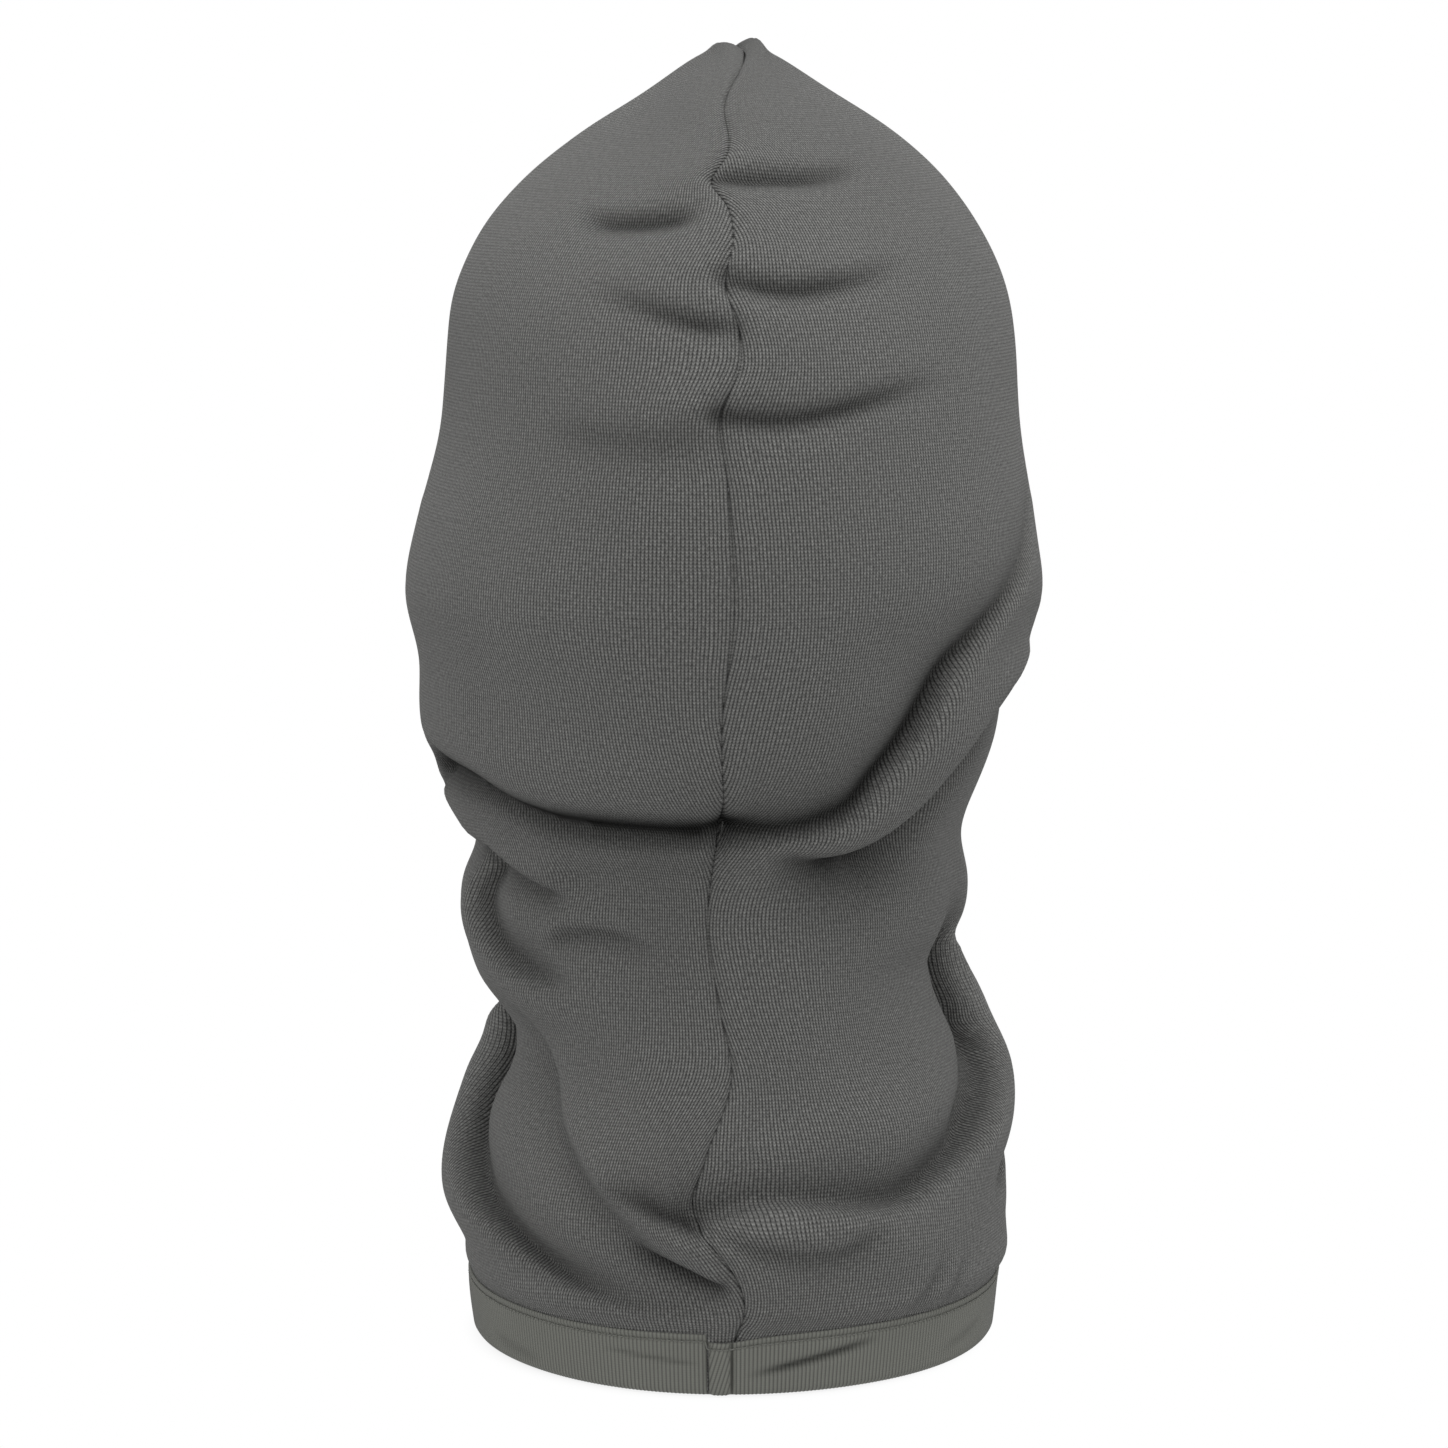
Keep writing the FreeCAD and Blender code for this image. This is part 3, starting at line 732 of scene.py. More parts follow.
class Material:
    """Short calls for building a node material."""

    def __init__(self, name):
        self.material = bpy.data.materials.new(name)
        self.material.use_nodes = True
        self.nodes = self.material.node_tree.nodes
        self.links = self.material.node_tree.links
        self.shader = self.nodes["Principled BSDF"]

    def feed(self, socket, value):
        if isinstance(value, bpy.types.NodeSocket):
            self.links.new(value, socket)
        else:
            socket.default_value = value

    def node(self, kind, operation=None, **inputs):
        """A new node with the given inputs; a name's underscores stand for blanks."""
        made = self.nodes.new("ShaderNode" + kind)
        if operation:
            made.operation = operation
        for name, value in inputs.items():
            self.feed(made.inputs[name.replace("_", " ")], value)
        return made

    def math(self, operation, first, second=0.0):
        node = self.node("Math", operation)
        self.feed(node.inputs[0], first)
        self.feed(node.inputs[1], second)
        return node.outputs[0]

    def wave(self, turns):
        return self.math("SINE", self.math("MULTIPLY", turns, 2.0 * math.pi))

    def weave(self):
        """The weave map's two distances in millimetres."""
        uv = self.node("UVMap")
        uv.uv_map = "weave"
        split = self.node("SeparateXYZ", Vector=uv.outputs["UV"])
        return [self.math("DIVIDE", split.outputs[k], UV_SCALE) for k in (0, 1)]

    def place(self):
        return self.node("TexCoord").outputs["Object"]

    def attribute(self, name):
        node = self.node("Attribute")
        node.attribute_name = name
        return node.outputs["Fac"]

    def within(self, columns):
        """Distance from the middle of a column, as a share of its width: 0 to 0.5."""
        return self.math("ABSOLUTE", self.math("SUBTRACT", self.math("FRACT", columns), 0.5))

    def ramp(self, value, low, high):
        """0 below low and 1 above high."""
        return self.node("MapRange", Value=value, From_Min=low, From_Max=high).outputs["Result"]

    def mix(self, share, first, second):
        """first where share is 0 and second where it is 1."""
        more = self.math("MULTIPLY", share, self.math("SUBTRACT", second, first))
        return self.math("ADD", first, more)

    def noise(self, vector, scale, detail=2.0, roughness=0.5):
        return self.node("TexNoise", Vector=vector, Scale=scale, Detail=detail,
                         Roughness=roughness).outputs["Fac"]

    def vector(self, x, y):
        return self.node("CombineXYZ", X=x, Y=y).outputs[0]

    def spread(self, value, low, high):
        """Maps a 0 to 1 value onto low to high."""
        return self.math("ADD", self.math("MULTIPLY", value, high - low), low)

    def tint(self, colour, *shares):
        """A colour times every share."""
        total = shares[0]
        for each in shares[1:]:
            total = self.math("MULTIPLY", total, each)
        return self.node("VectorMath", "SCALE", Vector=colour, Scale=total).outputs[0]

    def bump(self, distance, *heights):
        """Raises the surface by up to distance mm times the heights, each with its share."""
        total = 0.0
        for height, share in heights:
            total = self.math("ADD", self.math("MULTIPLY", height, share), total)
        node = self.node("Bump", Strength=1.0, Distance=distance * MM, Height=total)
        self.feed(self.shader.inputs["Normal"], node.outputs["Normal"])

    def finish(self, colour, roughness, sheen, sheen_roughness=0.5, specular=0.25):
        self.feed(self.shader.inputs["Base Color"], colour)
        self.feed(self.shader.inputs["Roughness"], roughness)
        self.feed(self.shader.inputs["Specular IOR Level"], specular)
        self.feed(self.shader.inputs["Sheen Weight"], sheen)
        self.shader.inputs["Sheen Roughness"].default_value = sheen_roughness
        return self.material


def knit_material(name, colour):
    """Stocking stitch: upright wales, each a row of V-shaped loops."""
    m = Material(name)
    u, v = m.weave()
    place = m.place()
    wobble = m.spread(m.noise(place, 90.0, 3.0), -0.35, 0.35)
    columns = m.math("ADD", m.math("DIVIDE", u, WALE), wobble)
    within = m.within(columns)
    stretch = m.attribute("stretch")
    for times, low, high in ((2.0, 1.3, 1.7), (3.0, 2.2, 2.7), (5.0, 3.4, 4.2)):
        closer = m.within(m.math("MULTIPLY", columns, times))
        within = m.mix(m.ramp(stretch, low, high), within, closer)
    rounded = m.math("COSINE", m.math("MULTIPLY", within, math.pi))
    leg = m.math("ADD", m.math("DIVIDE", v, COURSE), m.math("MULTIPLY", within, -1.1))
    loops = m.spread(m.wave(leg), 0.5, 1.0)
    fibres = m.noise(place, 2600.0, 3.0, 0.7)
    m.bump(0.45, (rounded, 0.75), (loops, 0.25), (fibres, 0.3))
    # Darker between the wales and between the loops: painted shade in the knit's grooves, along with the
    # bump.
    groove_shade = m.spread(m.math("POWER", rounded, 0.7), 0.15, 1.38)
    loop_shade = m.spread(loops, 0.72, 1.2)
    yarn = m.noise(m.vector(m.math("MULTIPLY", u, 1.1), m.math("MULTIPLY", v, 0.8)), 1.0, 3.0, 0.75)
    melange = m.spread(yarn, 0.0, 2.0)
    cloudy = m.spread(m.noise(place, 22.0, 3.0), 0.93, 1.07)
    # Painted shade in the creases: the colour falls to 5 percent of itself, and sheen and specular go out,
    # where the painted shade is 1.
    painted_shade = m.attribute("painted_shade")
    shade = m.tint(colour, groove_shade, loop_shade, melange, cloudy, m.spread(painted_shade, 1.0, 0.05))
    return m.finish(shade, m.spread(fibres, 0.75, 0.95), m.spread(painted_shade, 0.12, 0.0), 0.5,
                    m.spread(painted_shade, 0.25, 0.0))


def brushed_material(name, colour):
    """The napped inside: short tufts with no visible loops."""
    m = Material(name)
    place = m.place()
    tufts = m.noise(place, 420.0, 4.0, 0.7)
    hairs = m.noise(place, 2400.0, 2.0, 0.7)
    m.bump(0.5, (tufts, 1.0), (hairs, 0.4))
    shade = m.spread(tufts, 0.78, 1.22)
    return m.finish(m.tint(colour, shade, m.spread(m.noise(place, 25.0), 0.93, 1.07)), 0.95, 0.35, 0.6)


def rib_material(name, colour):
    """Fine rib knit: the ribs are in the mesh, and the bump adds their loops."""
    m = Material(name)
    u, v = m.weave()
    place = m.place()
    within = m.within(m.math("DIVIDE", u, RIB))
    rounded = m.math("COSINE", m.math("MULTIPLY", within, math.pi))
    loops = m.wave(m.math("ADD", m.math("DIVIDE", v, TAPE_LOOP), within))
    fibres = m.noise(place, 2600.0, 3.0, 0.7)
    m.bump(0.16, (rounded, 0.6), (loops, 0.12), (fibres, 0.3))
    # Darker between the ribs: painted shade in the grooves.
    groove_shade = m.spread(m.math("POWER", rounded, 0.8), 0.45, 1.18)
    cloudy = m.spread(m.noise(place, 30.0, 3.0), 0.92, 1.08)
    # Painted shade in the tape's dents and beside its lap: the colour falls to a quarter where it is 1.
    shadow = m.spread(m.attribute("painted_shade"), 1.0, 0.25)
    return m.finish(m.tint(colour, groove_shade, cloudy, shadow), m.spread(fibres, 0.7, 0.9), 0.15, 0.45)


def thread_material(name, colour):
    """Two-ply spun thread."""
    m = Material(name)
    place = m.place()
    twist = m.noise(place, 1800.0, 2.0, 0.6)
    m.bump(0.08, (twist, 1.0))
    return m.finish(m.tint(colour, m.spread(twist, 0.7, 1.25)), 0.6, 0.2)


def label_material(name, colour):
    """Blank satin tape with fine crosswise weave and fused edges."""
    m = Material(name)
    u, v = m.weave()
    picks = m.wave(m.math("DIVIDE", v, LABEL_PICK))
    warp = m.wave(m.math("DIVIDE", u, LABEL_WARP))
    m.bump(0.03, (picks, 0.5), (warp, 0.25))
    cloudy = m.spread(m.noise(m.place(), 90.0, 3.0), 0.94, 1.04)
    return m.finish(m.tint(colour, cloudy, m.spread(picks, 0.98, 1.0)), 0.45, 0.25)


# ---- rib tapes -------------------------------------------
RIB_SAMPLES = 4                 # points of a tape's line in each rib
RIB_DEPTH = 0.15                # how far the ribs stand out
STITCH_FROM_EDGE = 2.0          # from a tape's upper edge to its row of stitches
STITCH_SAMPLES = 6              # points of a tape's line in each stitch
LAP_HALF_WIDTH = 2.9
LAP = 0.7                       # how far the lap stands out
LAP_DIP = 2.4                   # how much narrower the tape is at the lap
LAP_THICKNESS = 0.2             # of the lap's own layer
LAP_END = 12                    # samples of the section that the lap stops short of
LAP_SLANT = 0.25                # sideways run of the lap's ribs for each step down
NEEDLE_THREAD = 0.17            # radius of the needle thread and of the overlock's
LOOPER_THREAD = 0.16
LOOPER_HALF = 1.1               # half the width of the looper thread's zigzag
STITCH_ARCH = (-0.22, 0.12, 0.18, 0.12, -0.22)    # heights along one needle stitch
HEM_LAP_ANGLE = 1.7
OUTSIDE = 300.0                 # rays towards the cloth start this far off
OFF_SEAM = 1e-5                 # and this far beside the middle plane, so that they hit a face
# Creases in the hem tape: from and to (angle, distance from the hem), depth, width.
HEM_DENTS = [((-5, 6.6), (-33, 13.6), 1.0, 1.2), ((27, 12.0), (6, 9.2), 0.4, 0.7),
             ((64, 6.0), (46, 3.5), 0.25, 1.6), ((-70, 9.0), (-52, 5.0), 0.25, 1.6)]


def sheet_tree(form):
    """The draped outer surface of both sides as one tree, without the face opening cut."""
    points, faces = [], []
    for side in (1, -1):
        grid = form.seam_free[side]
        rows, columns = grid.shape[:2]
        first = len(points)
        points += [Vector(p) for p in grid.reshape(-1, 3)]
        for i in range(rows - 1):
            for c in range(columns - 1):
                a = first + i * columns + c
                corners = [a, a + 1, a + columns + 1, a + columns]
                faces.append(corners if side < 0 else corners[::-1])
    return BVHTree.FromPolygons(points, faces)


class Band:
    """The strip of draped cloth under a tape: points round the edge line, at a few distances from it."""

    def __init__(self, points, levels):
        for step in (9, 3, 1):
            for _ in range(5):
                points = (np.roll(points, step, axis=0) + 2 * points + np.roll(points, -step, axis=0)) / 4.0
        self.points, self.levels = points, levels
        along = np.roll(points, -1, axis=0) - np.roll(points, 1, axis=0)
        away = np.gradient(points, axis=1)
        self.normals = unit(np.cross(away, along))

    def weights(self, distances):
        """Shares of the levels in points at distances from the edge, straight on before the first."""
        distances = np.asarray(distances, float)[..., None]

        def share(place):
            return np.concatenate([
                np.prod([(place - other) / (level - other) for other in self.levels if other != level],
                        axis=0) for level in self.levels], axis=-1)

        at = np.maximum(distances, self.levels[0])
        return share(at) + (share(at) - share(at + 1.0)) * (at - distances)

    def at(self, distances, heights, which=None):
        """Points at distances from the edge line and heights off the cloth: [line, section, xyz]."""
        points, normals = self.points, self.normals
        if which is not None:
            points, normals = points[which], normals[which]
        distances = np.broadcast_to(distances, (len(points), np.shape(distances)[-1]))
        shares = self.weights(distances)
        place = np.einsum("ksm,kmc->ksc", shares, points)
        normal = unit(np.einsum("ksm,kmc->ksc", shares, normals))
        return place + normal * np.asarray(heights)[..., None]


def band_round(point, levels, even_at):
    """A band of cloth points, and their angles, so that a whole number of ribs fits round it.

    point gives the cloth's point at an angle and a level.  The points are evenly spread along the
    level even_at."""
    places = np.linspace(0.0, 360.0, 361)
    rough = np.array([point(a, even_at) for a in places])
    lengths = run_lengths(np.diff(rough, axis=0))
    count = int(round(lengths[-1] / RIB)) * RIB_SAMPLES
    angles = np.interp(np.arange(count) * lengths[-1] / count, lengths, places)
    return Band(np.array([[point(a, level) for level in levels] for a in angles]), levels), angles


def hem_band(tree):
    """The cloth under the hem tape."""
    def point(angle, height):
        way = Vector((math.sin(math.radians(angle)) + OFF_SEAM, math.cos(math.radians(angle)), 0.0))
        return tree.ray_cast(Vector((0, 0, height)) + way * OUTSIDE, -way.normalized())[0]

    return band_round(point, (2.5, 7.5, 13.0, 18.5), even_at=7.5)


def opening_outline():
    """Middle height, half width and half height of the face opening at the tape's fold."""
    low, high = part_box("face_binding")
    return ((low.z + high.z) / 2 / MM, (high.x - low.x) / 2 / MM - FACE_BAND,
            (high.z - low.z) / 2 / MM - FACE_BAND)


def face_band(tree):
    """The cloth under the face tape."""
    middle, half_width, half_height = opening_outline()

    def point(angle, grow):
        a = math.radians(angle)
        start = Vector(((half_width + grow) * math.sin(a) + OFF_SEAM, -OUTSIDE,
                        middle - (half_height + grow) * math.cos(a)))
        return tree.ray_cast(start, Vector((0, 1, 0)))[0]

    return band_round(point, (2.5, 6.5, 10.5, 15.5), even_at=2.5)


def tape_section(width):
    """The tape's section: distances from the fold and heights off the cloth, down the outer leg,
    round the fold and up the inner leg, for the tape's outer face and then for its inner face."""
    stitch_row = width - STITCH_FROM_EDGE
    paths = []
    for gap, puffed in ((TAPE, 1.0), (0.05, 0.0)):
        radius = CLOTH / 2.0 + gap
        inset = 0.0 if puffed else 0.1
        leg = np.concatenate([np.linspace(width - inset, stitch_row - 1.4, 8),
                              np.linspace(stitch_row - 1.4, radius, 14)[1:]])
        groove = 0.42 * hill(leg, stitch_row, 0.5)
        body = 0.5 * np.sin(np.pi * np.clip(leg / (stitch_row + 0.6), 0.0, 1.0)) ** 0.8
        edge = 0.25 * smoothstep(width - 0.5, width, leg)
        puff = puffed * (body - groove - edge)
        turn = np.pi * np.arange(1, 8) / 8
        distances = np.concatenate([leg, radius - radius * np.sin(turn), leg[::-1]])
        heights = np.concatenate([radius + puff, radius * np.cos(turn), -radius - 0.4 * puff[::-1]])
        paths.append((distances, heights - CLOTH / 2.0))
    return paths


def section_piece(name, node, band, paths, material, which=None, shrink=None, pinch=None, lift=0.0,
                  slant=0.0, shade=None):
    """Sweeps a two-faced section along a band: all the way round, or over the given points only.

    For each point of the band, shrink is the share that the section's length loses, pinch is the share
    by which the outer face sinks to the inner one, and lift is the outer face's extra height.  shade
    is the painted shade of each point of the outer face, a darkening of its colour, and slant turns the
    ribs."""
    count = len(band.points) if which is None else len(which)
    kept = np.ones((count, 1)) if shrink is None else 1.0 - shrink[:, None]
    grids = []
    for number, (distances, heights) in enumerate(paths):
        raised = np.tile(heights, (count, 1))
        if number == 0:
            turn = 2 * np.pi * (np.arange(count)[:, None] / RIB_SAMPLES + slant * distances / RIB)
            raised = raised + (RIB_DEPTH * np.cos(turn) + lift) * np.sign(heights + CLOTH / 2.0)
        grids.append(band.at(distances * kept, raised, which))
    outer, inner = grids
    if pinch is not None:
        outer = outer + (inner - outer) * pinch[:, None, None]
    if shade is None:
        shade = np.zeros(outer.shape[:2])
    if which is None:
        outer, inner, shade = (np.concatenate([g, g[:1]]) for g in (outer, inner, shade))
    rows, columns = outer.shape[:2]
    faces, _ = thick_sheet(rows, columns, np.ones((rows - 1, columns - 1), bool))
    points = np.concatenate([outer.reshape(-1, 3), inner.reshape(-1, 3)])
    mesh = make_mesh(name, points, faces)
    section_run = run_lengths(np.diff(np.array(paths[0]), axis=1).T)
    places = two_way(np.arange(rows) * RIB / RIB_SAMPLES, section_run)
    places[..., 0] += slant * paths[0][0]
    set_weave(mesh, np.tile(places.reshape(-1, 2), (2, 1)))
    # The outer face's painted shade, for the material to darken its colour by; the inner face gets none.
    set_share(mesh, "painted_shade", np.concatenate([shade.ravel(), 0.0 * shade.ravel()]))
    weld(mesh)
    add_piece(name, mesh, material, node)


def tape_dents(band, angles, distances, dents):
    """Height that creases take off a tape's outer face: [line, section].

    Each dent is a line from one (angle, distance) to another, with a depth and a width."""
    turned = (angles[:, None] + 180.0) % 360.0 - 180.0
    run = np.radians(turned) * np.linalg.norm(band.points[:, :1, :2], axis=2)
    total = np.zeros((len(angles), len(distances)))
    for (angle_a, from_a), (angle_b, from_b), depth, width in dents:
        nearest = int(np.argmin(np.abs(turned[:, 0] - angle_a)))
        radius = math.hypot(*band.points[nearest, 0, :2])
        start = np.array([math.radians(angle_a) * radius, from_a])
        way = np.array([math.radians(angle_b) * radius, from_b]) - start
        there = np.stack(np.broadcast_arrays(run, distances[None, :]), axis=-1) - start
        share = (there @ way) / (way @ way)
        off = np.linalg.norm(there - np.clip(share, 0.0, 1.0)[..., None] * way, axis=-1)
        ends = smoothstep(-0.1, 0.3, share) * smoothstep(-0.1, 0.3, 1.0 - share)
        total += depth * ends * hill(off, 0.0, width)
    outer_leg = np.arange(len(distances)) < len(distances) * 0.4
    return total * outer_leg


def weld(mesh):
    """Joins the first and last rows of a sweep that runs all the way round."""
    work = bmesh.new()
    work.from_mesh(mesh)
    bmesh.ops.remove_doubles(work, verts=work.verts, dist=1e-6)
    inside = [f for f in work.faces if all(len(e.link_faces) > 2 for e in f.edges)]
    bmesh.ops.delete(work, geom=inside, context="FACES")
    work.to_mesh(mesh)
    work.free()


def rib_tape(prefix, band, angles, width, lap_at, rib, thread, dents=()):
    """A folded tape with its closing lap and both rows of stitches."""
    node = prefix + "_binding"
    spacing = RIB / RIB_SAMPLES
    count = len(angles)
    nearest = int(np.argmin(np.abs((angles - lap_at + 180.0) % 360.0 - 180.0)))
    from_lap = ((np.arange(count) - nearest + count // 2) % count - count // 2) * spacing
    beyond = -from_lap - LAP_HALF_WIDTH
    shrink = np.where(from_lap > 0.0, smoothstep(0.6, 0.0, from_lap - LAP_HALF_WIDTH - 0.3),
                      np.exp(-(np.maximum(beyond, 0.0) / 9.0) ** 1.3)) * LAP_DIP / width
    pinch = 0.92 * hill(np.abs(from_lap), LAP_HALF_WIDTH + 0.35, 0.5)
    paths = tape_section(width)
    dented = tape_dents(band, angles, paths[0][0], dents)
    # Painted shade: the tape's colour is darkened in the dents and in the grooves beside the lap.
    shade = np.clip(0.9 * dented + 0.6 * pinch[:, None], 0.0, 0.9)
    section_piece(prefix + "_rib_tape", node, band, paths, rib, shrink=shrink, pinch=pinch,
                  lift=-dented, shade=shade)
    reach = int(LAP_HALF_WIDTH / spacing)
    which = (nearest + np.arange(-reach, reach + 1)) % count
    lap_paths = []
    distances, heights = (values[:-LAP_END] for values in paths[0])
    for sink in (0.0, LAP_THICKNESS):
        lap_paths.append((distances, heights - sink * np.sign(heights + CLOTH / 2.0)))
    across = np.linspace(-1.0, 1.0, len(which))[:, None]
    pillow = LAP * (1.0 - np.abs(across) ** 3) - 0.35 * np.abs(across) ** 6
    section_piece(prefix + "_tape_lap", node + "_lap", band, lap_paths, rib, which=which,
                  shrink=shrink[which], lift=pillow, slant=LAP_SLANT)
    over_lap = 0.8 * LAP * (np.abs(from_lap) < LAP_HALF_WIDTH)
    tape_stitches(prefix, band, (width - STITCH_FROM_EDGE) * (1.0 - shrink), over_lap, thread)
    tape_looper(prefix, band, width - STITCH_FROM_EDGE, thread)


def tape_stitches(prefix, band, row, over_lap, thread):
    """The needle thread: one low arch for each stitch, at row mm from the fold."""
    count = len(band.points)
    threads = []
    for first in range(0, count - STITCH_SAMPLES + 1, STITCH_SAMPLES):
        which = np.arange(first, first + STITCH_SAMPLES - 1)
        raised = TAPE + 0.02 + np.array(STITCH_ARCH) + over_lap[which]
        threads.append(band.at(row[which][:, None], raised[:, None], which)[:, 0])
    thread_piece(prefix + "_needle_stitches", threads, NEEDLE_THREAD, thread, prefix + "_needle_thread")


def tape_looper(prefix, band, row, thread):
    """The looper thread: one zigzag on the tape's inner side, behind the row of stitches."""
    inside = -CLOTH - TAPE - LOOPER_THREAD
    step = STITCH_SAMPLES // 2
    which = np.arange(0, len(band.points) - step, step)
    zigzag = band.at([row - LOOPER_HALF, row + LOOPER_HALF], [inside, inside], which)
    path = zigzag[np.arange(len(which)), np.arange(len(which)) % 2]
    path = np.concatenate([path, path[:1]])
    thread_piece(prefix + "_looper_stitches", [path], LOOPER_THREAD, thread, prefix + "_looper_thread")


# ---- threads and label -----------------------------------
OVERLOCK_PITCH = 2.4            # from one wrap of the overlock to the next
OVERLOCK_REACH = 4.7            # depth below the surface that the wraps start at
LABEL_HALF = 0.26               # half the thickness of the folded label
LABEL_ROLL = 0.46               # radius of its rolled edge
LOOP_NOTCH = 0.5                # room in the label beside the middle of each loop


def thread_piece(name, paths, radius, material, node):
    """Round threads along open lines, closed at their ends."""
    sides = 6
    points, faces = [], []
    ring = ring_angles(sides)
    for path in paths:
        path = np.asarray(path, float)
        along = unit(np.gradient(path, axis=0))
        guide = np.array([0.0, 0.0, 1.0]) if abs(along[0][2]) < 0.8 else np.array([1.0, 0.0, 0.0])
        first = len(points)
        for place, way in zip(path, along):
            across = np.cross(way, guide)
            across /= max(np.linalg.norm(across), 1e-9)
            guide = np.cross(across, way)
            points += [place + radius * (across * math.cos(a) + guide * math.sin(a)) for a in ring]
        faces += tube_faces(first, len(path), sides)
    add_piece(name, make_mesh(name, points, faces), material, node)


def overlock(prefix, material, seam, inward):
    """Thread wrapped over the seam's turned-in edges, along a line of seam points."""
    pitch, reach, edge = OVERLOCK_PITCH, OVERLOCK_REACH, ALLOWANCE_DEPTHS[-1] + 0.25
    side_place, edge_place = CLOTH * 0.85 + 0.3, CLOTH * 0.7
    run = run_lengths(np.diff(seam, axis=0))
    pattern = [(0.0, side_place, reach), (0.12, side_place, edge - 0.8), (0.2, edge_place, edge),
               (0.5, 0.0, edge + 0.1), (0.8, -edge_place, edge), (0.88, -side_place, edge - 0.8),
               (1.0, -side_place, reach), (1.12, -side_place, edge - 0.8), (1.2, -edge_place, edge),
               (1.5, 0.0, edge + 0.1), (1.8, edge_place, edge), (1.88, side_place, edge - 0.8)]
    path = []
    for start in np.arange(0.0, run[-1] - 2 * pitch, 2 * pitch):
        for share, across, depth in pattern:
            at = start + share * pitch
            place = np.array([np.interp(at, run, seam[:, c]) for c in range(3)])
            way = unit(np.array([np.interp(at, run, inward[:, c]) for c in range(3)]))
            path.append(place + way * depth + np.array([across, 0.0, 0.0]))
    thread_piece(prefix + "_overlock", [path], NEEDLE_THREAD, material, prefix + "_overlock_thread")


def seam_line(form, column, low, high):
    """Seam points and their inward directions between two heights."""
    seam = form.seam_free[1][:, column]
    inward = form.seam_inward(column)
    keep = (seam[:, 2] >= low) & (seam[:, 2] <= high)
    return seam[keep], inward[keep]


def overlock_seams(form, material):
    """The overlock of the seam over the head, and of the short one under the chin."""
    hem_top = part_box("hem_binding")[1].z / MM
    middle, _, half_height = opening_outline()
    clear = FACE_BAND + 3.0
    back, back_in = seam_line(form, 0, hem_top + 2.0, math.inf)
    over, over_in = seam_line(form, -1, middle + half_height + clear, math.inf)
    overlock("back_seam", material, np.concatenate([back, over[::-1]]),
             np.concatenate([back_in, over_in[::-1]]))
    overlock("front_seam", material,
             *seam_line(form, -1, hem_top + 2.0, middle - half_height - clear))


def label_piece(material):
    """The blank care label: a folded tab with a hemmed end, on a roll that the loops hold."""
    low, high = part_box("care_label")
    hinge = Vector(frame["joints"][0]["pos_m"]) / MM
    tip = Vector((high.x / MM, low.y / MM, hinge.z)) - hinge
    length = tip.length
    out = tip.normalized()
    across = Vector((out.y, -out.x, 0.0))
    bottom, height = low.z / MM, (high.z - low.z) / MM
    loops = [bottom + height * share for share in (0.1, 0.3, 0.5, 0.7, 0.9)]
    places = np.concatenate([[0.3, 0.8, 1.5], np.linspace(2.4, length, 30)])
    levels = np.linspace(bottom, bottom + height, 53)
    share = places / length
    bow = 1.3 * np.sin(np.pi * share) - 0.5 * np.sin(2 * np.pi * share)
    hem = 0.25 * smoothstep(length - 4.2, length - 3.8, places)
    half = LABEL_HALF + hem - 0.12 * smoothstep(length - 0.6, length, places)
    ripple = 0.35 * np.sin(0.33 * levels)[:, None] * share ** 2
    line = np.array(hinge) + places[:, None] * np.array(out)
    grids = []
    for sign in (1.0, -1.0):
        grid = line + (bow + ripple + sign * half)[..., None] * np.array(across)
        grid[..., 2] = levels[:, None]
        grids.append(grid)
    rows, columns = len(levels), len(places)
    keep = np.ones((rows - 1, columns - 1), bool)
    for i in range(rows - 1):
        middle = (levels[i] + levels[i + 1]) / 2
        if min(abs(middle - loop) for loop in loops) < LOOP_NOTCH:
            keep[i, :2] = False
    faces, _ = thick_sheet(rows, columns, keep)
    points = np.concatenate([g.reshape(-1, 3) for g in grids])
    roll_sides = 12
    first = len(points)
    ends = [Vector((hinge.x, hinge.y, z)) for z in (bottom, bottom + height)]
    roll = [e + Vector((math.cos(a), math.sin(a), 0)) * LABEL_ROLL for e in ends
            for a in ring_angles(roll_sides)]
    points = np.concatenate([points, np.array(roll)])
    mesh = make_mesh("care_label_cloth", points, faces + tube_faces(first, 2, roll_sides))
    flat = two_way(levels, places).reshape(-1, 2)[:, ::-1]
    set_weave(mesh, np.concatenate([flat, flat, np.zeros((2 * roll_sides, 2))]))
    add_piece(mesh.name, mesh, material, "care_label", body="label")


# ---- the scene -------------------------------------------
# The stage's own lengths are metres.
FILL = 0.72                     # strength of the white surroundings' light
FLOOR_GLOW = 0.55               # and of the far floor's
LAMP_WIDTH = 0.8
LAMP_AIM = (0.0, 0.0, 0.2)
LAMPS = [("overhead", (-0.25, 0.4, 1.65), 8.0),          # name, place, watts
         ("behind_left", (1.2, 1.5, 0.7), 2.5),
         ("behind_right", (-1.3, 1.4, 0.8), 1.0)]
FLOOR_REACH = 30.0
FLOOR_DROP = 0.0003             # keeps the floor just clear of the hem
FLOOR_FADE = (0.05, 0.078)      # the floor turns white between these distances from the middle


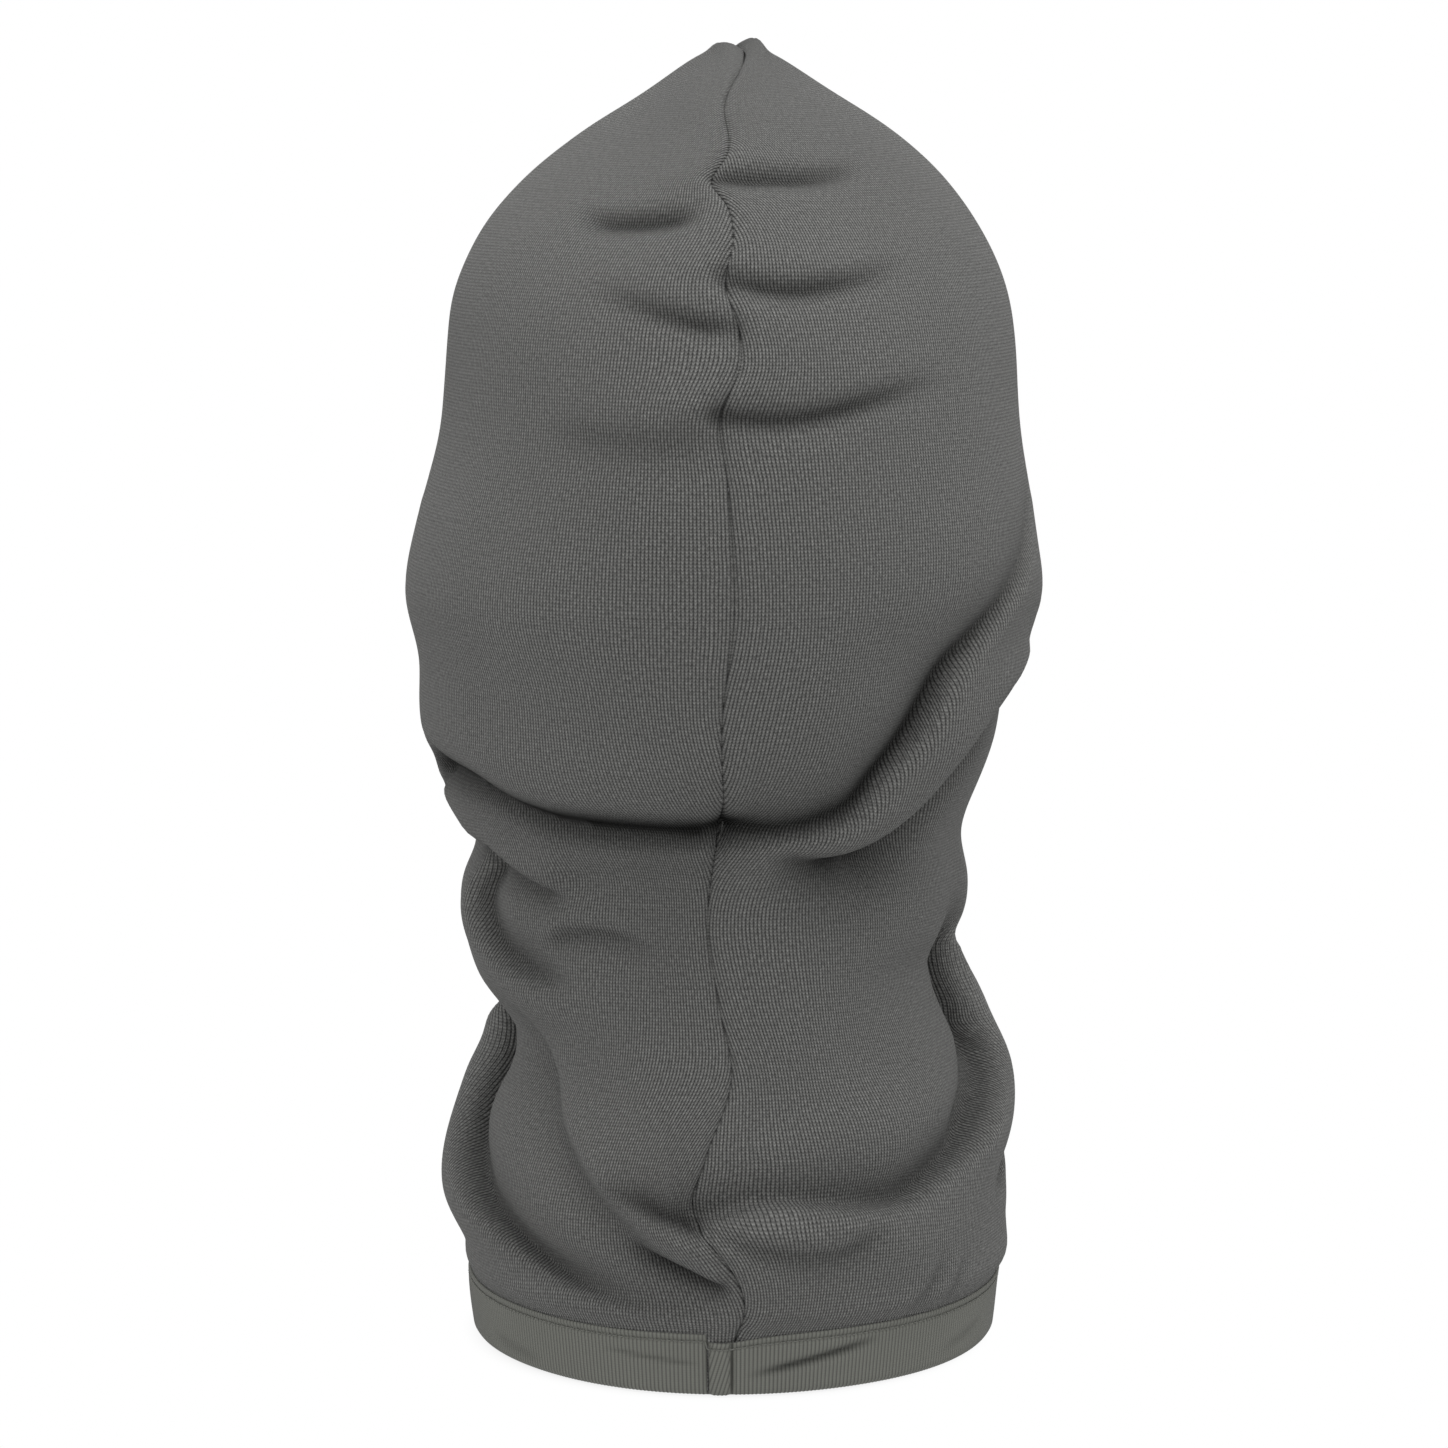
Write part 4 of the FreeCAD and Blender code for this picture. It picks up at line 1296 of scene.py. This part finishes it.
def stage():
    """A white studio: soft light from above and behind the hood, and a floor that fades to white."""
    scene = bpy.context.scene
    scene.view_settings.view_transform = "Standard"
    world = bpy.data.worlds.new("studio")
    world.use_nodes = True
    nodes, links = world.node_tree.nodes, world.node_tree.links
    seen = nodes.new("ShaderNodeLightPath")
    strength = nodes.new("ShaderNodeMapRange")
    links.new(seen.outputs["Is Camera Ray"], strength.inputs["Value"])
    strength.inputs["To Min"].default_value = FILL
    strength.inputs["To Max"].default_value = 1.0
    links.new(strength.outputs["Result"], nodes["Background"].inputs["Strength"])
    nodes["Background"].inputs["Color"].default_value = (1.0, 1.0, 1.0, 1.0)
    scene.world = world
    floor = bpy.data.meshes.new("floor")
    reach = FLOOR_REACH
    floor.from_pydata([(-reach, -reach, 0), (reach, -reach, 0), (reach, reach, 0), (-reach, reach, 0)],
                      [], [(0, 1, 2, 3)])
    floor_object = new_object("floor", floor, floor_material())
    floor_object.location.z = -FLOOR_DROP
    for name, place, power in LAMPS:
        data = bpy.data.lights.new(name, "AREA")
        data.shape = "SQUARE"
        data.size = LAMP_WIDTH
        data.energy = power
        lamp = bpy.data.objects.new(name, data)
        lamp.location = place
        aim = Vector(LAMP_AIM) - Vector(place)
        lamp.rotation_euler = aim.to_track_quat("-Z", "Y").to_euler()
        scene.collection.objects.link(lamp)


def floor_material():
    """Pale near the hood and pure white farther off, so that no horizon shows."""
    m = Material("pale_floor")
    m.shader.inputs["Base Color"].default_value = (0.93, 0.93, 0.93, 1.0)
    m.shader.inputs["Roughness"].default_value = 0.9
    seen = m.node("LightPath").outputs["Is Camera Ray"]
    glow = m.node("Emission", Color=(1.0, 1.0, 1.0, 1.0), Strength=m.spread(seen, FLOOR_GLOW, 1.0))
    away = m.node("VectorMath", "LENGTH", Vector=m.place())
    low, high = FLOOR_FADE
    fade = m.node("MapRange", Value=away.outputs["Value"], From_Min=low, From_Max=high)
    fade.interpolation_type = "SMOOTHSTEP"
    mix = m.node("MixShader", Fac=fade.outputs["Result"])
    m.links.new(m.shader.outputs[0], mix.inputs[1])
    m.links.new(glow.outputs[0], mix.inputs[2])
    m.links.new(mix.outputs[0], m.nodes["Material Output"].inputs["Surface"])
    return m.material


def camera():
    """Behind the hood and a little above it."""
    elevation = math.radians(8.0)
    distance = 1.2
    target = Vector((0.0011, 0.0, 0.175))
    data = bpy.data.cameras.new("camera")
    data.lens = 105.0
    data.sensor_width = 36.0
    ob = bpy.data.objects.new("camera", data)
    back = Vector((0.0, math.cos(elevation), math.sin(elevation)))
    ob.location = target + back * distance
    ob.rotation_euler = (-back).to_track_quat("-Z", "Y").to_euler()
    bpy.context.scene.collection.objects.link(ob)
    bpy.context.scene.camera = ob


# ---- build -----------------------------------------------
add_back_folds()
add_seam_puckers()
add_front_folds()
form = Form()

knit = knit_material("knit_face", FLEECE_COLOUR)
brushed = brushed_material("brushed_inside", BRUSHED_COLOUR)
rib = rib_material("rib_knit", TAPE_COLOUR)
thread = thread_material("sewing_thread", TAPE_COLOUR)
label_cloth = label_material("label_satin", LABEL_COLOUR)

for side, word in ((1, "left"), (-1, "right")):
    cloth_panel(form, side, word, [knit, brushed])
tree = sheet_tree(form)
hem_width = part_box("hem_binding")[1].z / MM
rib_tape("hem", *hem_band(tree), hem_width, HEM_LAP_ANGLE, rib, thread, HEM_DENTS)
rib_tape("face", *face_band(tree), FACE_BAND, 0.0, rib, thread)
overlock_seams(form, thread)
label_piece(label_cloth)
loops = frame["nodes"]["care_label_loops"]
loops.data.materials.clear()
loops.data.materials.append(thread)

stage()
camera()
